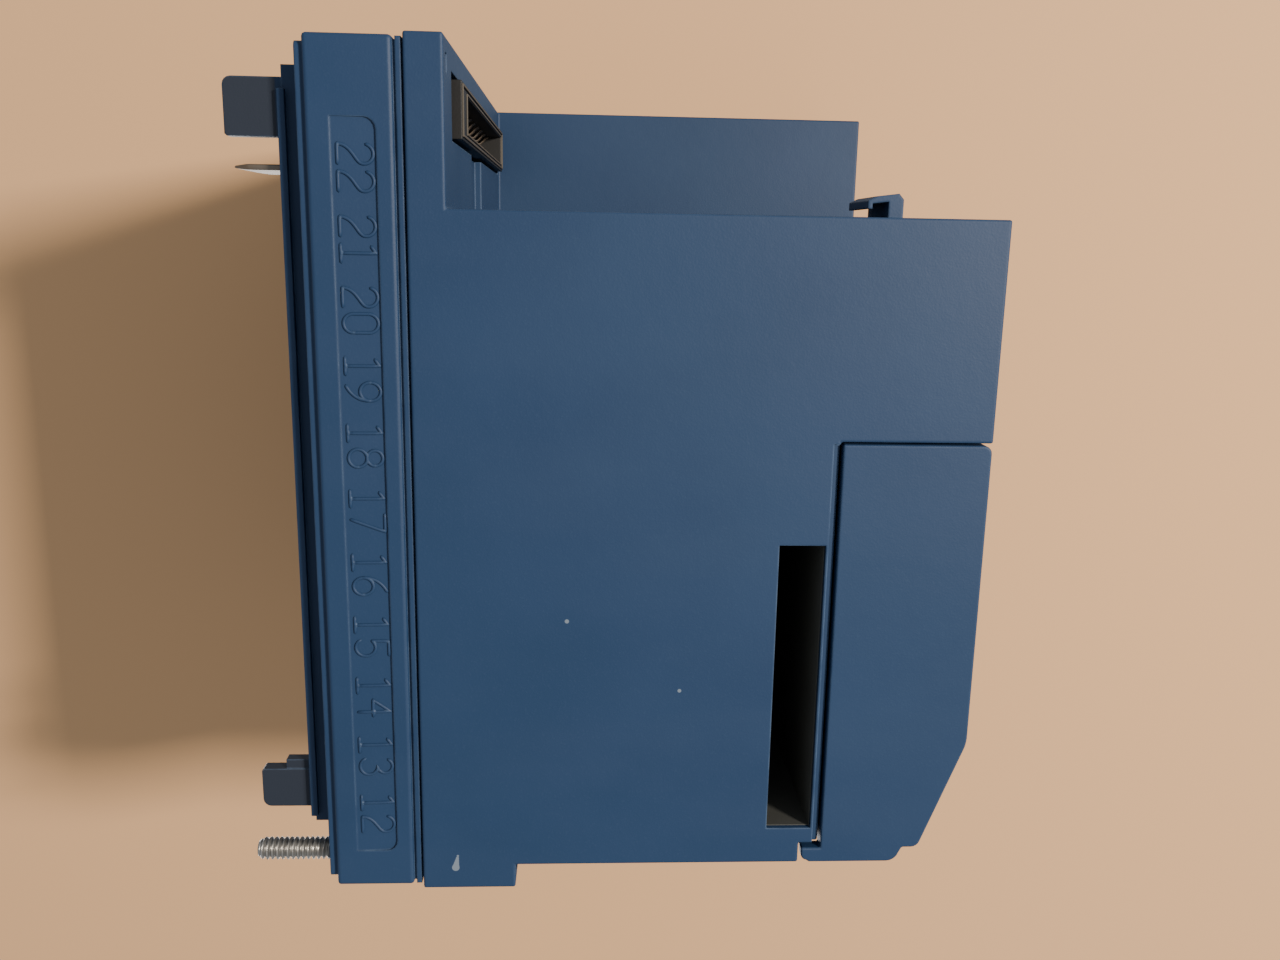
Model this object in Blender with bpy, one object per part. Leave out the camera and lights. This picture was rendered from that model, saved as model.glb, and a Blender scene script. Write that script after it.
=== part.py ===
"""Plug-in burner control module: a rear base with knife blades, a stepped housing with an open bay
for a plug-in amplifier, and a display module that swings on its top edge.

Metres, +Z up, -Y is the front. The origin is on the rear mounting face, midway across and midway up.
"""

import math

import bmesh
import bpy
from mathutils import Matrix, Vector

# ---- Driving dimensions -------------------------------------------------------------------------

WIDTH = 0.1270  # over the side faces
HEIGHT = 0.1254  # over the rear flange
DEPTH = 0.1019  # rear mounting face to front face
WALL = 0.0024  # moulded walls of the base and the housing
GAP = 0.0003  # left between pieces that touch
RUN = 0.0004  # left around pieces that move

BASE_INSET = 0.0004  # base side faces lie this far inside the housing's
LIP_DEPTH = 0.0010  # rim at the very back
NECK_DEPTH = 0.0035  # plug-in neck, with the lip
RABBET_DEPTH = 0.0012
RABBET_INSET = 0.0009
RABBET_ROUND = 0.0009
BASE_DEPTH = 0.0165  # mounting face to the base's front edge
GROOVE = 0.0015  # between base and housing, with the bead standing in it
TONGUE_INSET = 0.0009  # base's tongue lies this far inside its side faces
TONGUE_LENGTH = 0.0035
BEAD_INSET = 0.0002  # bead round the tongue, inside the base's side faces
BEAD_GAP = 0.0004  # dark line behind the bead
BEAD_ROOT_INSET = 0.0006
NECK_SIDE_INSET = 0.0060
LIP_SIDE_INSET = 0.0051
NECK_BOTTOM_INSET = 0.0038
NECK_TOP_INSET = 0.0084
LIP_END_INSET = 0.0032  # lip is shorter than the neck at its lower end
LIP_TOP_INSET = 0.0012

FLANGE_STEP = 0.00385  # rear flange stands this far above the housing's top
TOP_FLANGE_DEPTH = 0.0142
BOTTOM_FLANGE_DEPTH = 0.0053
BAY_HEIGHT = 0.02265
BAY_WIDTH = 0.0940
BAND_HEIGHT = 0.03175  # lower front band, between the bay and the display
RECESS_DEPTH = 0.0224  # the display's seat, behind the front face

SLOT_DEPTH = 0.00695  # option card slot, front to back
SLOT_HEIGHT = 0.04575
SLOT_RAIL = 0.00136  # left between the slot and the display's seat
SLOT_REACH = 0.0415  # how far the slot goes in
SLOT_RISE = 0.0155  # slot's lower end above the band
SLOT_SKIN = 0.0014

TERMINAL_PITCH = 0.00954
TERMINALS = 11
TERMINAL_TOP = 0.0500
BLADE_WIDTH = 0.0120
BLADE_THICKNESS = 0.0008
BLADE_REACH = 0.0074  # past the mounting face
BLADE_INSET = 0.0080  # from the side face
BLADE_SHOULDER = 0.0054  # blade narrows to its tail this far inside the mounting face
LIVE_LEFT = range(1, 11)  # places on the left side that hold a blade, 0 at the top
LIVE_RIGHT = (10,)

SCREW_INSET_X = 0.0050
SCREW_INSET_Z = 0.0042
SCREW_RADIUS = 0.00175
SCREW_NECK_RADIUS = 0.0012
SCREW_REACH = 0.0083  # past the mounting face
SCREW_THREAD = 0.0198
SCREW_SEAT = 0.0025  # thickness of the wall under the head
HEAD_RADIUS = 0.0031
HEAD_HEIGHT = 0.0026
WASHER_THICKNESS = 0.0008
DRIVER_RADIUS = 0.0035  # channel for the head and the screwdriver

CASE_SCREW_X = 0.0360
CASE_SCREW_TOP = 0.0480
CASE_SCREW_RADIUS = 0.0016
BOSS = 0.0090

BOARD = 0.0016
BOARD_REAR = 0.0089  # relay board's rear face, in front of the mounting face
DISPLAY_WALL = 0.0020
KEY_WIDTH = 0.0130
KEY_HEIGHT = 0.0080
KEY_PROUD = 0.0010
KEY_TRAVEL = 0.0008
KEY_PITCH = 0.0220
KEYS = 4
WINDOW_WIDTH = 0.0850
WINDOW_HEIGHT = 0.0210
RESET_WIDTH = 0.0140
RESET_HEIGHT = 0.0110
RESET_PROUD = 0.0015
RESET_TRAVEL = 0.0025
LED_RADIUS = 0.0015
LED_PITCH = 0.0060
CONNECTOR_LENGTH = 0.0780
CONNECTOR_HEIGHT = 0.0082
CONNECTOR_PROUD = 0.0010  # stands past the bay's rear wall
CONNECTOR_MOUTH = 0.0052

# ---- Places worked out from them ----------------------------------------------------------------

SIDE = WIDTH / 2
TOP = HEIGHT / 2
BOTTOM = -TOP
FRONT = -DEPTH
BASE_SIDE = SIDE - BASE_INSET
BASE_TOP = TOP - BASE_INSET
BASE_FRONT = -BASE_DEPTH
BASE_REAR = -NECK_DEPTH
NECK_SIDE = SIDE - NECK_SIDE_INSET
NECK_BOTTOM = BOTTOM + NECK_BOTTOM_INSET
NECK_TOP = TOP - NECK_TOP_INSET
HOUSING_REAR = BASE_FRONT - GROOVE
BAY_REAR = HOUSING_REAR - BOTTOM_FLANGE_DEPTH
FLANGE_FRONT = HOUSING_REAR - TOP_FLANGE_DEPTH
SEAT = FRONT + RECESS_DEPTH
BODY_TOP = TOP - FLANGE_STEP
CEILING = BOTTOM + BAY_HEIGHT
BAY_LEFT = SIDE - BAY_WIDTH
BAND_TOP = CEILING + BAND_HEIGHT
SCREW_X = SIDE - SCREW_INSET_X
SCREW_Z = TOP - SCREW_INSET_Z
SCREW_SHOULDER = HOUSING_REAR - 2 * SCREW_SEAT
SCREWS = (("upper_right", 1), ("lower_left", -1))  # at opposite corners
BOARD_FRONT = -BOARD_REAR - BOARD
CASE_SCREWS = (
    ("upper_left", -CASE_SCREW_X, CASE_SCREW_TOP, 1),
    ("upper_right", CASE_SCREW_X, CASE_SCREW_TOP, 1),
    ("lower_left", -CASE_SCREW_X, NECK_BOTTOM + WALL / 2 + BOSS / 2, -1),
    ("lower_right", CASE_SCREW_X, CEILING + WALL + 0.0045, -1),
)

# ---- Materials ----------------------------------------------------------------------------------


def material(name, colour, roughness, metallic=0.0, alpha=1.0):
    """A Principled BSDF of one colour."""
    made = bpy.data.materials.new(name)
    made.use_nodes = True
    shader = made.node_tree.nodes["Principled BSDF"]
    shader.inputs["Base Color"].default_value = (*colour, 1.0)
    shader.inputs["Roughness"].default_value = roughness
    shader.inputs["Metallic"].default_value = metallic
    shader.inputs["Alpha"].default_value = alpha
    return made


BLUE = material("blue_moulding", (0.045, 0.120, 0.260), 0.50)
DARK_BLUE = material("dark_blue_moulding", (0.030, 0.080, 0.180), 0.50)
BLACK = material("black_plastic", (0.020, 0.020, 0.022), 0.45)
GREY = material("grey_plastic", (0.300, 0.310, 0.320), 0.50)
KEY_GREY = material("key_rubber", (0.420, 0.440, 0.460), 0.60)
LABEL = material("label_film", (0.030, 0.032, 0.036), 0.35)
GREEN_BOARD = material("board_laminate", (0.020, 0.160, 0.070), 0.45)
BRASS = material("tinned_brass", (0.620, 0.560, 0.440), 0.35, 0.9)
STEEL = material("zinc_plated_steel", (0.620, 0.620, 0.600), 0.35, 0.9)
IRON = material("transformer_iron", (0.180, 0.180, 0.190), 0.45, 0.7)
TAPE = material("winding_tape", (0.700, 0.520, 0.100), 0.50)
RELAY_BLUE = material("relay_case", (0.050, 0.160, 0.420), 0.40)
SLEEVE = material("capacitor_sleeve", (0.020, 0.030, 0.120), 0.35)
GLASS = material("clear_window", (0.750, 0.800, 0.780), 0.08, 0.0, 0.35)
LCD_GLASS = material("lcd_glass", (0.280, 0.360, 0.220), 0.20)
LED_GREEN = material("led_green", (0.050, 0.550, 0.120), 0.15)
LED_AMBER = material("led_amber", (0.850, 0.480, 0.040), 0.15)
LED_RED = material("led_red", (0.700, 0.040, 0.030), 0.15)
CHIP = material("chip_epoxy", (0.030, 0.030, 0.030), 0.55)

# ---- Modelling helpers --------------------------------------------------------------------------


def add(name, work, finish):
    """Puts a bmesh into the scene as an object, with its faces pointing out."""
    bmesh.ops.recalc_face_normals(work, faces=work.faces)
    mesh = bpy.data.meshes.new(name)
    work.to_mesh(mesh)
    work.free()
    made = bpy.data.objects.new(name, mesh)
    bpy.context.scene.collection.objects.link(made)
    if finish is not None:
        mesh.materials.append(finish)
    return made


def box(name, x, y, z, finish=None):
    """A block between two values on each axis."""
    work = bmesh.new()
    size = Vector((x[1] - x[0], y[1] - y[0], z[1] - z[0]))
    middle = Vector((x[0] + x[1], y[0] + y[1], z[0] + z[1])) / 2
    place = Matrix.Translation(middle) @ Matrix.Diagonal((*size, 1.0))
    bmesh.ops.create_cube(work, size=1.0, matrix=place)
    return add(name, work, finish)


def prism(name, outline, axis, span, finish=None):
    """An outline carried along an axis. Its points are the other two coordinates, in X, Y, Z order."""
    work = bmesh.new()
    ends = []
    for value in span:
        corners = [list(point) for point in outline]
        for corner in corners:
            corner.insert("XYZ".index(axis), value)
        ends.append([work.verts.new(corner) for corner in corners])
    work.faces.new(ends[0])
    work.faces.new(ends[1])
    count = len(outline)
    for i in range(count):
        j = (i + 1) % count
        work.faces.new((ends[0][i], ends[0][j], ends[1][j], ends[1][i]))
    return add(name, work, finish)


def rod(name, x, z, steps, finish=None, sides=24):
    """A turned piece along Y at (x, z). Steps are (y, radius) pairs, one after the other."""
    work = bmesh.new()
    rings = []
    for y, radius in steps:
        turn = [2 * math.pi * i / sides for i in range(sides)]
        ring = [(x + radius * math.cos(a), y, z + radius * math.sin(a)) for a in turn]
        rings.append([work.verts.new(point) for point in ring])
    for near, far in zip(rings, rings[1:]):
        for i in range(sides):
            j = (i + 1) % sides
            work.faces.new((near[i], near[j], far[j], far[i]))
    work.faces.new(rings[0])
    work.faces.new(rings[-1])
    made = add(name, work, finish)
    made.data.shade_smooth()
    made.data.set_sharp_from_angle(angle=math.radians(35))
    return made


def combine(piece, operation, tools):
    """Adds a Boolean for each tool, which is then only a helper."""
    for tool in tools:
        tool.hide_render = True
        tool.display_type = "WIRE"
        step = piece.modifiers.new(tool.name, "BOOLEAN")
        step.operation = operation
        step.object = tool
    return piece


def join(piece, *tools):
    return combine(piece, "UNION", tools)


def cut(piece, *tools):
    return combine(piece, "DIFFERENCE", tools)


def soften(piece, width, segments=2):
    """Rounds the sharp edges that the piece has so far."""
    step = piece.modifiers.new("soften", "BEVEL")
    step.width = width
    step.segments = segments
    step.limit_method = "ANGLE"
    step.angle_limit = math.radians(30)
    return piece


def arc(y, z, radius, start, end, steps=4):
    """Points on a circle about (y, z), between two angles in degrees, 0 along +Y and 90 along +Z."""
    turn = [math.radians(start + (end - start) * i / steps) for i in range(steps + 1)]
    return [(y + radius * math.cos(a), z + radius * math.sin(a)) for a in turn]


def centred(middle, size):
    return (middle - size / 2, middle + size / 2)


def mirrored(value):
    return (-value, value)


def terminal_z(place):
    """Height of a terminal place, counted from the top."""
    return TERMINAL_TOP - place * TERMINAL_PITCH


# ---- Rear base ----------------------------------------------------------------------------------

GUIDE_REACH = 0.0076
GUIDE_THICKNESS = 0.0022
LOWER_GUIDE_HEIGHT = 0.0079
UPPER_GUIDE_HEIGHT = 0.0063
GUIDE_LEG = 0.0080
GUIDE_INSET = 0.0002
GUIDE_ROUND = 0.0012
GUIDE_BLUNT = 0.0003  # small cut on the guide's other tip corner
GUIDE_ROOT = 0.0005  # how far the guides start inside the neck
GUIDE_BOTTOM = NECK_BOTTOM + 0.0016
GUIDE_TOP = NECK_TOP - 0.0024
PANEL_DEPTH = 0.00035  # along its front edge; it runs out towards the back
PANEL_SHALLOW = 0.00008
PANEL_FRONT = BASE_FRONT + 0.0024
PANEL_REAR = -0.0080
PANEL_ROUND = 0.0016
PANEL_MARGIN = 0.0064  # number panel past the first and last terminal
COUNTERBORE = 0.0037
STANDOFF = -BOARD_REAR + GAP


def guide(side, low, high, outer):
    """One L-shaped corner guide. Outer is -1 for a lower guide, whose outer end is its lower one."""
    lead = arc(GUIDE_REACH - GUIDE_ROUND, low + GUIDE_ROUND, GUIDE_ROUND, 270, 360)
    tip = arc(GUIDE_REACH - GUIDE_ROUND, high - GUIDE_ROUND, GUIDE_ROUND, 0, 90)
    start = -LIP_DEPTH - GUIDE_ROOT
    blunt = GUIDE_REACH - GUIDE_BLUNT
    if outer < 0:
        outline = [(start, high), (start, low), *lead, (GUIDE_REACH, high - GUIDE_BLUNT), (blunt, high)]
    else:
        outline = [(start, high), (start, low), (blunt, low), (GUIDE_REACH, low + GUIDE_BLUNT), *tip]
    face = NECK_SIDE - GUIDE_INSET
    reach = sorted((side * face, side * (face - GUIDE_THICKNESS)))
    plate = prism("guide_plate", outline, "X", reach)
    end = (low if outer < 0 else high) - outer * GUIDE_INSET
    leg_z = sorted((end, end - outer * GUIDE_THICKNESS))
    leg_x = sorted((side * (NECK_SIDE - GUIDE_LEG), side * (NECK_SIDE - GUIDE_ROOT)))
    leg = box("guide_leg", leg_x, (start, GUIDE_REACH - GUIDE_ROUND - GUIDE_INSET), leg_z)
    return plate, leg


def base_shell():
    """The base's outer form: body, rabbet, neck, lip and tongue, hollowed from the front."""
    body_rear = BASE_REAR - RABBET_DEPTH
    base = box("rear_base", mirrored(BASE_SIDE), (BASE_FRONT, body_rear), mirrored(BASE_TOP), BLUE)
    soften(base, 0.0005)
    corner_x = BASE_SIDE - RABBET_INSET - RABBET_ROUND
    corner_z = BASE_TOP - RABBET_INSET - RABBET_ROUND
    outline = []
    for x, z, start in ((1, 1, 0), (-1, 1, 90), (-1, -1, 180), (1, -1, 270)):
        outline += arc(x * corner_x, z * corner_z, RABBET_ROUND, start, start + 90)
    rabbet = prism("rabbet", outline, "Y", (body_rear - WALL / 2, BASE_REAR))
    neck_y = (BASE_REAR - WALL / 2, -LIP_DEPTH / 2)
    neck = box("neck", mirrored(NECK_SIDE), neck_y, (NECK_BOTTOM, NECK_TOP))
    lip_z = (NECK_BOTTOM + LIP_END_INSET, NECK_TOP - LIP_TOP_INSET)
    lip = box("lip", mirrored(SIDE - LIP_SIDE_INSET), (-LIP_DEPTH, 0.0), lip_z)
    tongue_side = BASE_SIDE - TONGUE_INSET
    tongue_top = BASE_TOP - TONGUE_INSET
    tongue_y = (BASE_FRONT - TONGUE_LENGTH, BASE_FRONT + WALL)
    tongue = box("tongue", mirrored(tongue_side), tongue_y, mirrored(tongue_top))
    bead_side = BASE_SIDE - BEAD_INSET
    bead_top = BASE_TOP - BEAD_INSET
    bead = box("bead", mirrored(bead_side), (HOUSING_REAR + GAP, BASE_FRONT - BEAD_GAP), mirrored(bead_top))
    root_side = BASE_SIDE - BEAD_ROOT_INSET
    root_top = BASE_TOP - BEAD_ROOT_INSET
    root_y = (BASE_FRONT - 2 * BEAD_GAP, BASE_FRONT + WALL / 2)
    root = box("bead_root", mirrored(root_side), root_y, mirrored(root_top))
    join(base, rabbet, neck, lip, tongue, bead, root)
    inner_side = BASE_SIDE - WALL
    inner_top = BASE_TOP - WALL
    inner_y = (BASE_FRONT - 2 * TONGUE_LENGTH, BASE_REAR - WALL)
    cavity = box("base_cavity", mirrored(inner_side), inner_y, mirrored(inner_top))
    neck_cavity_y = (BASE_REAR - 2 * WALL, -WALL)
    neck_cavity_z = (NECK_BOTTOM + WALL, NECK_TOP - WALL)
    neck_cavity = box("neck_cavity", mirrored(NECK_SIDE - WALL), neck_cavity_y, neck_cavity_z)
    return cut(base, cavity, neck_cavity)


def number_panel(side):
    """Cutter for the panel behind the numbers: round front corners, and a floor that rises to the back."""
    low = terminal_z(TERMINALS - 1) - PANEL_MARGIN
    high = terminal_z(0) + PANEL_MARGIN
    near = PANEL_FRONT + PANEL_ROUND
    outline = [(PANEL_REAR, high), *arc(near, high - PANEL_ROUND, PANEL_ROUND, 90, 180),
               *arc(near, low + PANEL_ROUND, PANEL_ROUND, 180, 270), (PANEL_REAR, low)]
    outer = side * (BASE_SIDE + WALL)
    cutter = prism("number_panel", outline, "X", (outer, side * BASE_SIDE))
    for vertex in cutter.data.vertices:
        if abs(vertex.co.x - outer) > WALL / 2:
            share = (vertex.co.y - PANEL_FRONT) / (PANEL_REAR - PANEL_FRONT)
            depth = PANEL_DEPTH + (PANEL_SHALLOW - PANEL_DEPTH) * share
            vertex.co.x = side * (BASE_SIDE - depth)
    return cutter


def rear_base():
    base = base_shell()
    additions = []
    for side in (-1, 1):
        additions += guide(side, GUIDE_BOTTOM, GUIDE_BOTTOM + LOWER_GUIDE_HEIGHT, -1)
        additions += guide(side, GUIDE_TOP - UPPER_GUIDE_HEIGHT, GUIDE_TOP, 1)
        root_x = sorted((side * (NECK_SIDE - 2 * GUIDE_INSET), side * (NECK_SIDE - GUIDE_THICKNESS)))
        root_z = (GUIDE_TOP - UPPER_GUIDE_HEIGHT - 0.0015, GUIDE_TOP - UPPER_GUIDE_HEIGHT + 0.0010)
        additions.append(box("guide_root", root_x, (-0.0015, 0.0038), root_z))
    for _, corner in SCREWS:
        block_x = sorted((corner * (SCREW_X - DRIVER_RADIUS), corner * (BASE_SIDE - WALL / 2)))
        block_z = sorted((corner * (SCREW_Z - DRIVER_RADIUS), corner * (BASE_TOP - WALL / 2)))
        additions.append(box("screw_block", block_x, (BASE_FRONT, BASE_REAR - WALL / 2), block_z))
    for _, x, z, _ in CASE_SCREWS:
        post_y = (STANDOFF, -WALL / 2)
        additions.append(box("standoff", centred(x, BOSS), post_y, centred(z, BOSS)))
    join(base, *additions)
    holes = []
    for side, places in ((-1, LIVE_LEFT), (1, LIVE_RIGHT)):
        middle = side * (SIDE - BLADE_INSET - BLADE_WIDTH / 2)
        for place in places:
            slot_z = centred(terminal_z(place), BLADE_THICKNESS + 2 * GAP)
            slot_x = centred(middle, BLADE_WIDTH + 2 * GAP)
            holes.append(box("blade_slot", slot_x, (-BLADE_SHOULDER - GAP, WALL), slot_z))
        holes.append(number_panel(side))
    for _, corner in SCREWS:
        wide = SCREW_RADIUS + RUN
        relief = SCREW_RADIUS + 2 * RUN
        way = ((-2 * BASE_DEPTH, wide), (BASE_REAR, wide), (BASE_REAR, relief), (2 * GUIDE_REACH, relief))
        holes.append(rod("screw_way", corner * SCREW_X, corner * SCREW_Z, way))
    for _, x, z, _ in CASE_SCREWS:
        shank = CASE_SCREW_RADIUS + GAP
        steps = ((-BASE_DEPTH, shank), (-WALL, shank), (-WALL, COUNTERBORE), (WALL, COUNTERBORE))
        holes.append(rod("case_screw_way", x, z, steps))
    return cut(base, *holes)


# ---- Housing ------------------------------------------------------------------------------------

EAR_HEIGHT = 0.0030  # step in the housing's top front edge, under the display's ear
EAR_REACH = 0.0030
EAR_RADIUS = 0.0010
EAR_NOTCH = 0.0003
EAR_STEP = BODY_TOP - EAR_HEIGHT - 0.0003
EAR_END = SEAT + EAR_REACH + 0.0001
BOSS_LENGTH = 0.0250
STEP_WIDTH = 0.0010  # step along the seat's side edges, beside the display
STEP_DEPTH = 0.0010
CARD_LOW = BAND_TOP + SLOT_RISE
CARD_Y = (SEAT + SLOT_RAIL, SEAT + SLOT_RAIL + SLOT_DEPTH)
CARD_X = SIDE - SLOT_REACH
PLUG_Z = BAND_TOP + 0.0130
PLUG_HEIGHT = 0.0090
PLUG_WIDTH = 0.0320
OPENING_X = (BAY_LEFT + 0.0025, SIDE - 0.0090)
OPENING_Z = centred(BOTTOM + 0.0084, CONNECTOR_HEIGHT + 0.0012)
LABEL_DEPTH = 0.0005
LABEL_X = (-SIDE + 0.0025, BAY_LEFT - 0.0030)
LABEL_Z = (BAND_TOP - 0.0352, BAND_TOP - 0.0032)
LED_X = LABEL_X[0] + 0.0050
LED_TOP = BAND_TOP - 0.0072
RESET_X = (BAY_LEFT - SIDE) / 2 + 0.0042
RESET_Z = BOTTOM + 0.0105
LEDS = (
    ("led_power", LED_GREEN),
    ("led_pilot", LED_AMBER),
    ("led_flame", LED_AMBER),
    ("led_main", LED_AMBER),
    ("led_alarm", LED_RED),
)


def housing_form():
    """The outer form: the side profile across the full width, and the block left of the bay."""
    profile = [
        (HOUSING_REAR, BOTTOM),
        (BAY_REAR, BOTTOM),
        (BAY_REAR, CEILING),
        (FRONT, CEILING),
        (FRONT, BAND_TOP),
        (SEAT, BAND_TOP),
        (SEAT, EAR_STEP),
        (EAR_END, EAR_STEP),
        (EAR_END, BODY_TOP),
        (FLANGE_FRONT, BODY_TOP),
        (FLANGE_FRONT, TOP),
        (HOUSING_REAR, TOP),
    ]
    form = prism("housing", profile, "X", mirrored(SIDE), BLUE)
    block = box("left_block", (-SIDE, BAY_LEFT), (FRONT, HOUSING_REAR), (BOTTOM, CEILING + WALL))
    join(form, block)
    return soften(form, 0.0003)


def housing_cavities():
    """The hollow behind every wall, open at the back."""
    inner = SIDE - WALL
    back = HOUSING_REAR + WALL
    upper_z = (CEILING + WALL, EAR_STEP - WALL)
    behind_band_y = (FRONT + WALL, SEAT + 2 * WALL)
    block_y = (FRONT + WALL, back)
    rebate_side = BASE_SIDE - TONGUE_INSET + GAP
    rebate_top = BASE_TOP - TONGUE_INSET + GAP
    rebate_y = (BASE_FRONT - TONGUE_LENGTH - GAP, back)
    return (
        box("upper_cavity", mirrored(inner), (SEAT + WALL, back), upper_z),
        box("roof_cavity", mirrored(inner), (EAR_END + WALL, back), (0.0, BODY_TOP - WALL)),
        box("flange_cavity", mirrored(SCREW_X - DRIVER_RADIUS - WALL),
            (FLANGE_FRONT + WALL, back), (0.0, TOP - WALL)),
        box("band_cavity", mirrored(inner), behind_band_y, (CEILING + WALL, BAND_TOP - WALL)),
        box("block_cavity", (-inner, BAY_LEFT - WALL), block_y, (BOTTOM + WALL, CEILING + 2 * WALL)),
        box("foot_cavity", mirrored(inner), (BAY_REAR + WALL, back), (BOTTOM + WALL, 0.0)),
        box("rebate", mirrored(rebate_side), rebate_y, mirrored(rebate_top)),
    )


def housing_blocks():
    """What stands inside the hollow: screw channels, bosses and the option card's pocket."""
    blocks = []
    inner_x = SCREW_X - DRIVER_RADIUS - WALL
    inner_z = SCREW_Z - DRIVER_RADIUS - WALL
    seat_rear = SCREW_SHOULDER + SCREW_SEAT
    blocks.append(box("upper_channel", (inner_x, SIDE - WALL / 2), (EAR_END + WALL / 2, seat_rear),
                      (inner_z, BODY_TOP - WALL / 2)))
    blocks.append(box("upper_seat", (inner_x, SIDE - WALL / 2), (FLANGE_FRONT + WALL / 2, seat_rear),
                      (inner_z, TOP - WALL / 2)))
    blocks.append(box("lower_channel", (-SIDE + WALL / 2, -inner_x), (FRONT + WALL / 2, seat_rear),
                      (BOTTOM + WALL / 2, -inner_z)))
    for _, x, z, direction in CASE_SCREWS:
        boss_y = (BOARD_FRONT - GAP - BOSS_LENGTH, BOARD_FRONT - GAP)
        wall_z = BODY_TOP if direction > 0 else (BOTTOM if x < 0 else CEILING)
        web_y = (boss_y[0] + 0.0002, BASE_FRONT - TONGUE_LENGTH - 2 * GAP)
        web_z = sorted((z, wall_z - direction * WALL / 2))
        blocks.append(box("boss", centred(x, BOSS), boss_y, centred(z, BOSS)))
        blocks.append(box("boss_web", centred(x, BOSS - 0.0004), web_y, web_z))
    pocket_x = (CARD_X - SLOT_SKIN, SIDE - WALL / 2)
    pocket_y = (CARD_Y[0] - SLOT_RAIL / 2, CARD_Y[1] + SLOT_SKIN)
    pocket_z = (CARD_LOW - SLOT_SKIN, CARD_LOW + SLOT_HEIGHT + SLOT_SKIN)
    blocks.append(box("card_pocket", pocket_x, pocket_y, pocket_z))
    latch = [
        (-0.0026, 0.0010), (-0.0026, -0.0025), (-0.0019, -0.0033), (0.0012, -0.0029), (0.0024, -0.0023),
        (0.0024, -0.0012), (0.0018, -0.0012), (0.0018, -0.0019), (-0.0005, -0.0022), (-0.0005, 0.0010),
    ]
    latch_y = FRONT + 0.0178
    outline = [(latch_y + y, CEILING + z) for y, z in latch]
    blocks.append(prism("amplifier_latch", outline, "X", (SIDE - 0.0130, SIDE - 0.0015)))
    return blocks


def housing_openings():
    """Everything that goes through a wall."""
    holes = []
    for _, corner in SCREWS:
        way = SCREW_NECK_RADIUS + RUN
        steps = (
            (FRONT - WALL, DRIVER_RADIUS),
            (SCREW_SHOULDER, DRIVER_RADIUS),
            (SCREW_SHOULDER, way),
            (HOUSING_REAR + WALL, way),
        )
        holes.append(rod("driver_way", corner * SCREW_X, corner * SCREW_Z, steps))
    for _, x, z, _ in CASE_SCREWS:
        pilot = CASE_SCREW_RADIUS + GAP
        holes.append(rod("pilot", x, z, ((BOARD_FRONT - 0.0200, pilot), (0.0, pilot))))
    slot_x = (CARD_X, SIDE + WALL)
    holes.append(box("card_slot", slot_x, CARD_Y, (CARD_LOW, CARD_LOW + SLOT_HEIGHT)))
    card_y = (CARD_Y[0] + 0.0010, CARD_Y[1] - 0.0010)
    card_z = (CARD_LOW + 0.0060, CARD_LOW + SLOT_HEIGHT - 0.0060)
    holes.append(box("card_contacts", (CARD_X - 2 * SLOT_SKIN, CARD_X + SLOT_SKIN), card_y, card_z))
    step_y = (SEAT - WALL, SEAT + STEP_WIDTH)
    for side in (-1, 1):
        step_x = sorted((side * (SIDE - STEP_DEPTH), side * (SIDE + WALL)))
        holes.append(box("seat_step", step_x, step_y, (BAND_TOP + GAP, BODY_TOP + WALL)))
    plug_y = (SEAT - WALL, SEAT + 2 * WALL)
    holes.append(box("plug_way", centred(0.0, PLUG_WIDTH), plug_y, centred(PLUG_Z, PLUG_HEIGHT)))
    bay_y = (BAY_REAR - WALL, BAY_REAR + 2 * WALL)
    holes.append(box("amplifier_way", OPENING_X, bay_y, OPENING_Z))
    key_x = centred(SIDE - 0.0445, 0.0170)
    key_y = (BAY_REAR - WALL, BAY_REAR + WALL / 2)
    holes.append(box("amplifier_key", key_x, key_y, (OPENING_Z[0], CEILING - 0.0006)))
    slit_x = centred(SIDE - 0.0032, 0.0016)
    slit_z = centred(BOTTOM + 0.0034, 0.0024)
    holes.append(box("bay_slit", slit_x, key_y, slit_z))
    label_y = (FRONT - WALL, FRONT + LABEL_DEPTH)
    holes.append(box("label_recess", LABEL_X, label_y, LABEL_Z))
    for place in range(len(LEDS)):
        wide = LED_RADIUS + GAP
        led = ((FRONT - WALL, wide), (FRONT + 2 * WALL, wide))
        holes.append(rod("led_hole", LED_X, LED_TOP - place * LED_PITCH, led, sides=16))
    reset_y = (FRONT - WALL, FRONT + 2 * WALL)
    reset_x = centred(RESET_X, RESET_WIDTH + 2 * RUN)
    holes.append(box("reset_hole", reset_x, reset_y, centred(RESET_Z, RESET_HEIGHT + 2 * RUN)))
    return holes


def housing():
    form = housing_form()
    cut(form, *housing_cavities())
    join(form, *housing_blocks())
    return cut(form, *housing_openings())


# ---- Knife blades and screws --------------------------------------------------------------------


def blades():
    """Flat knife blades: a wide part through the base, a chamfered tip and a narrow soldered tail."""
    tail = 0.0040
    tail_end = BOARD_FRONT - 0.0012
    shoulder = -BLADE_SHOULDER
    half = BLADE_WIDTH / 2
    chamfer = 0.0022
    for name, side, places, first in (("left", -1, LIVE_LEFT, 1), ("right", 1, LIVE_RIGHT, 12)):
        middle = side * (SIDE - BLADE_INSET - half)
        outline = [
            (-tail / 2, tail_end), (tail / 2, tail_end), (tail / 2, shoulder), (half, shoulder),
            (half, BLADE_REACH - chamfer), (half - chamfer / 2, BLADE_REACH),
            (-half + chamfer / 2, BLADE_REACH), (-half, BLADE_REACH - chamfer),
            (-half, shoulder), (-tail / 2, shoulder),
        ]
        points = [(middle + x, y) for x, y in outline]
        for place in places:
            span = centred(terminal_z(place), BLADE_THICKNESS)
            prism(f"knife_blade_{place + first:02d}", points, "Z", span, BRASS)


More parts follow.
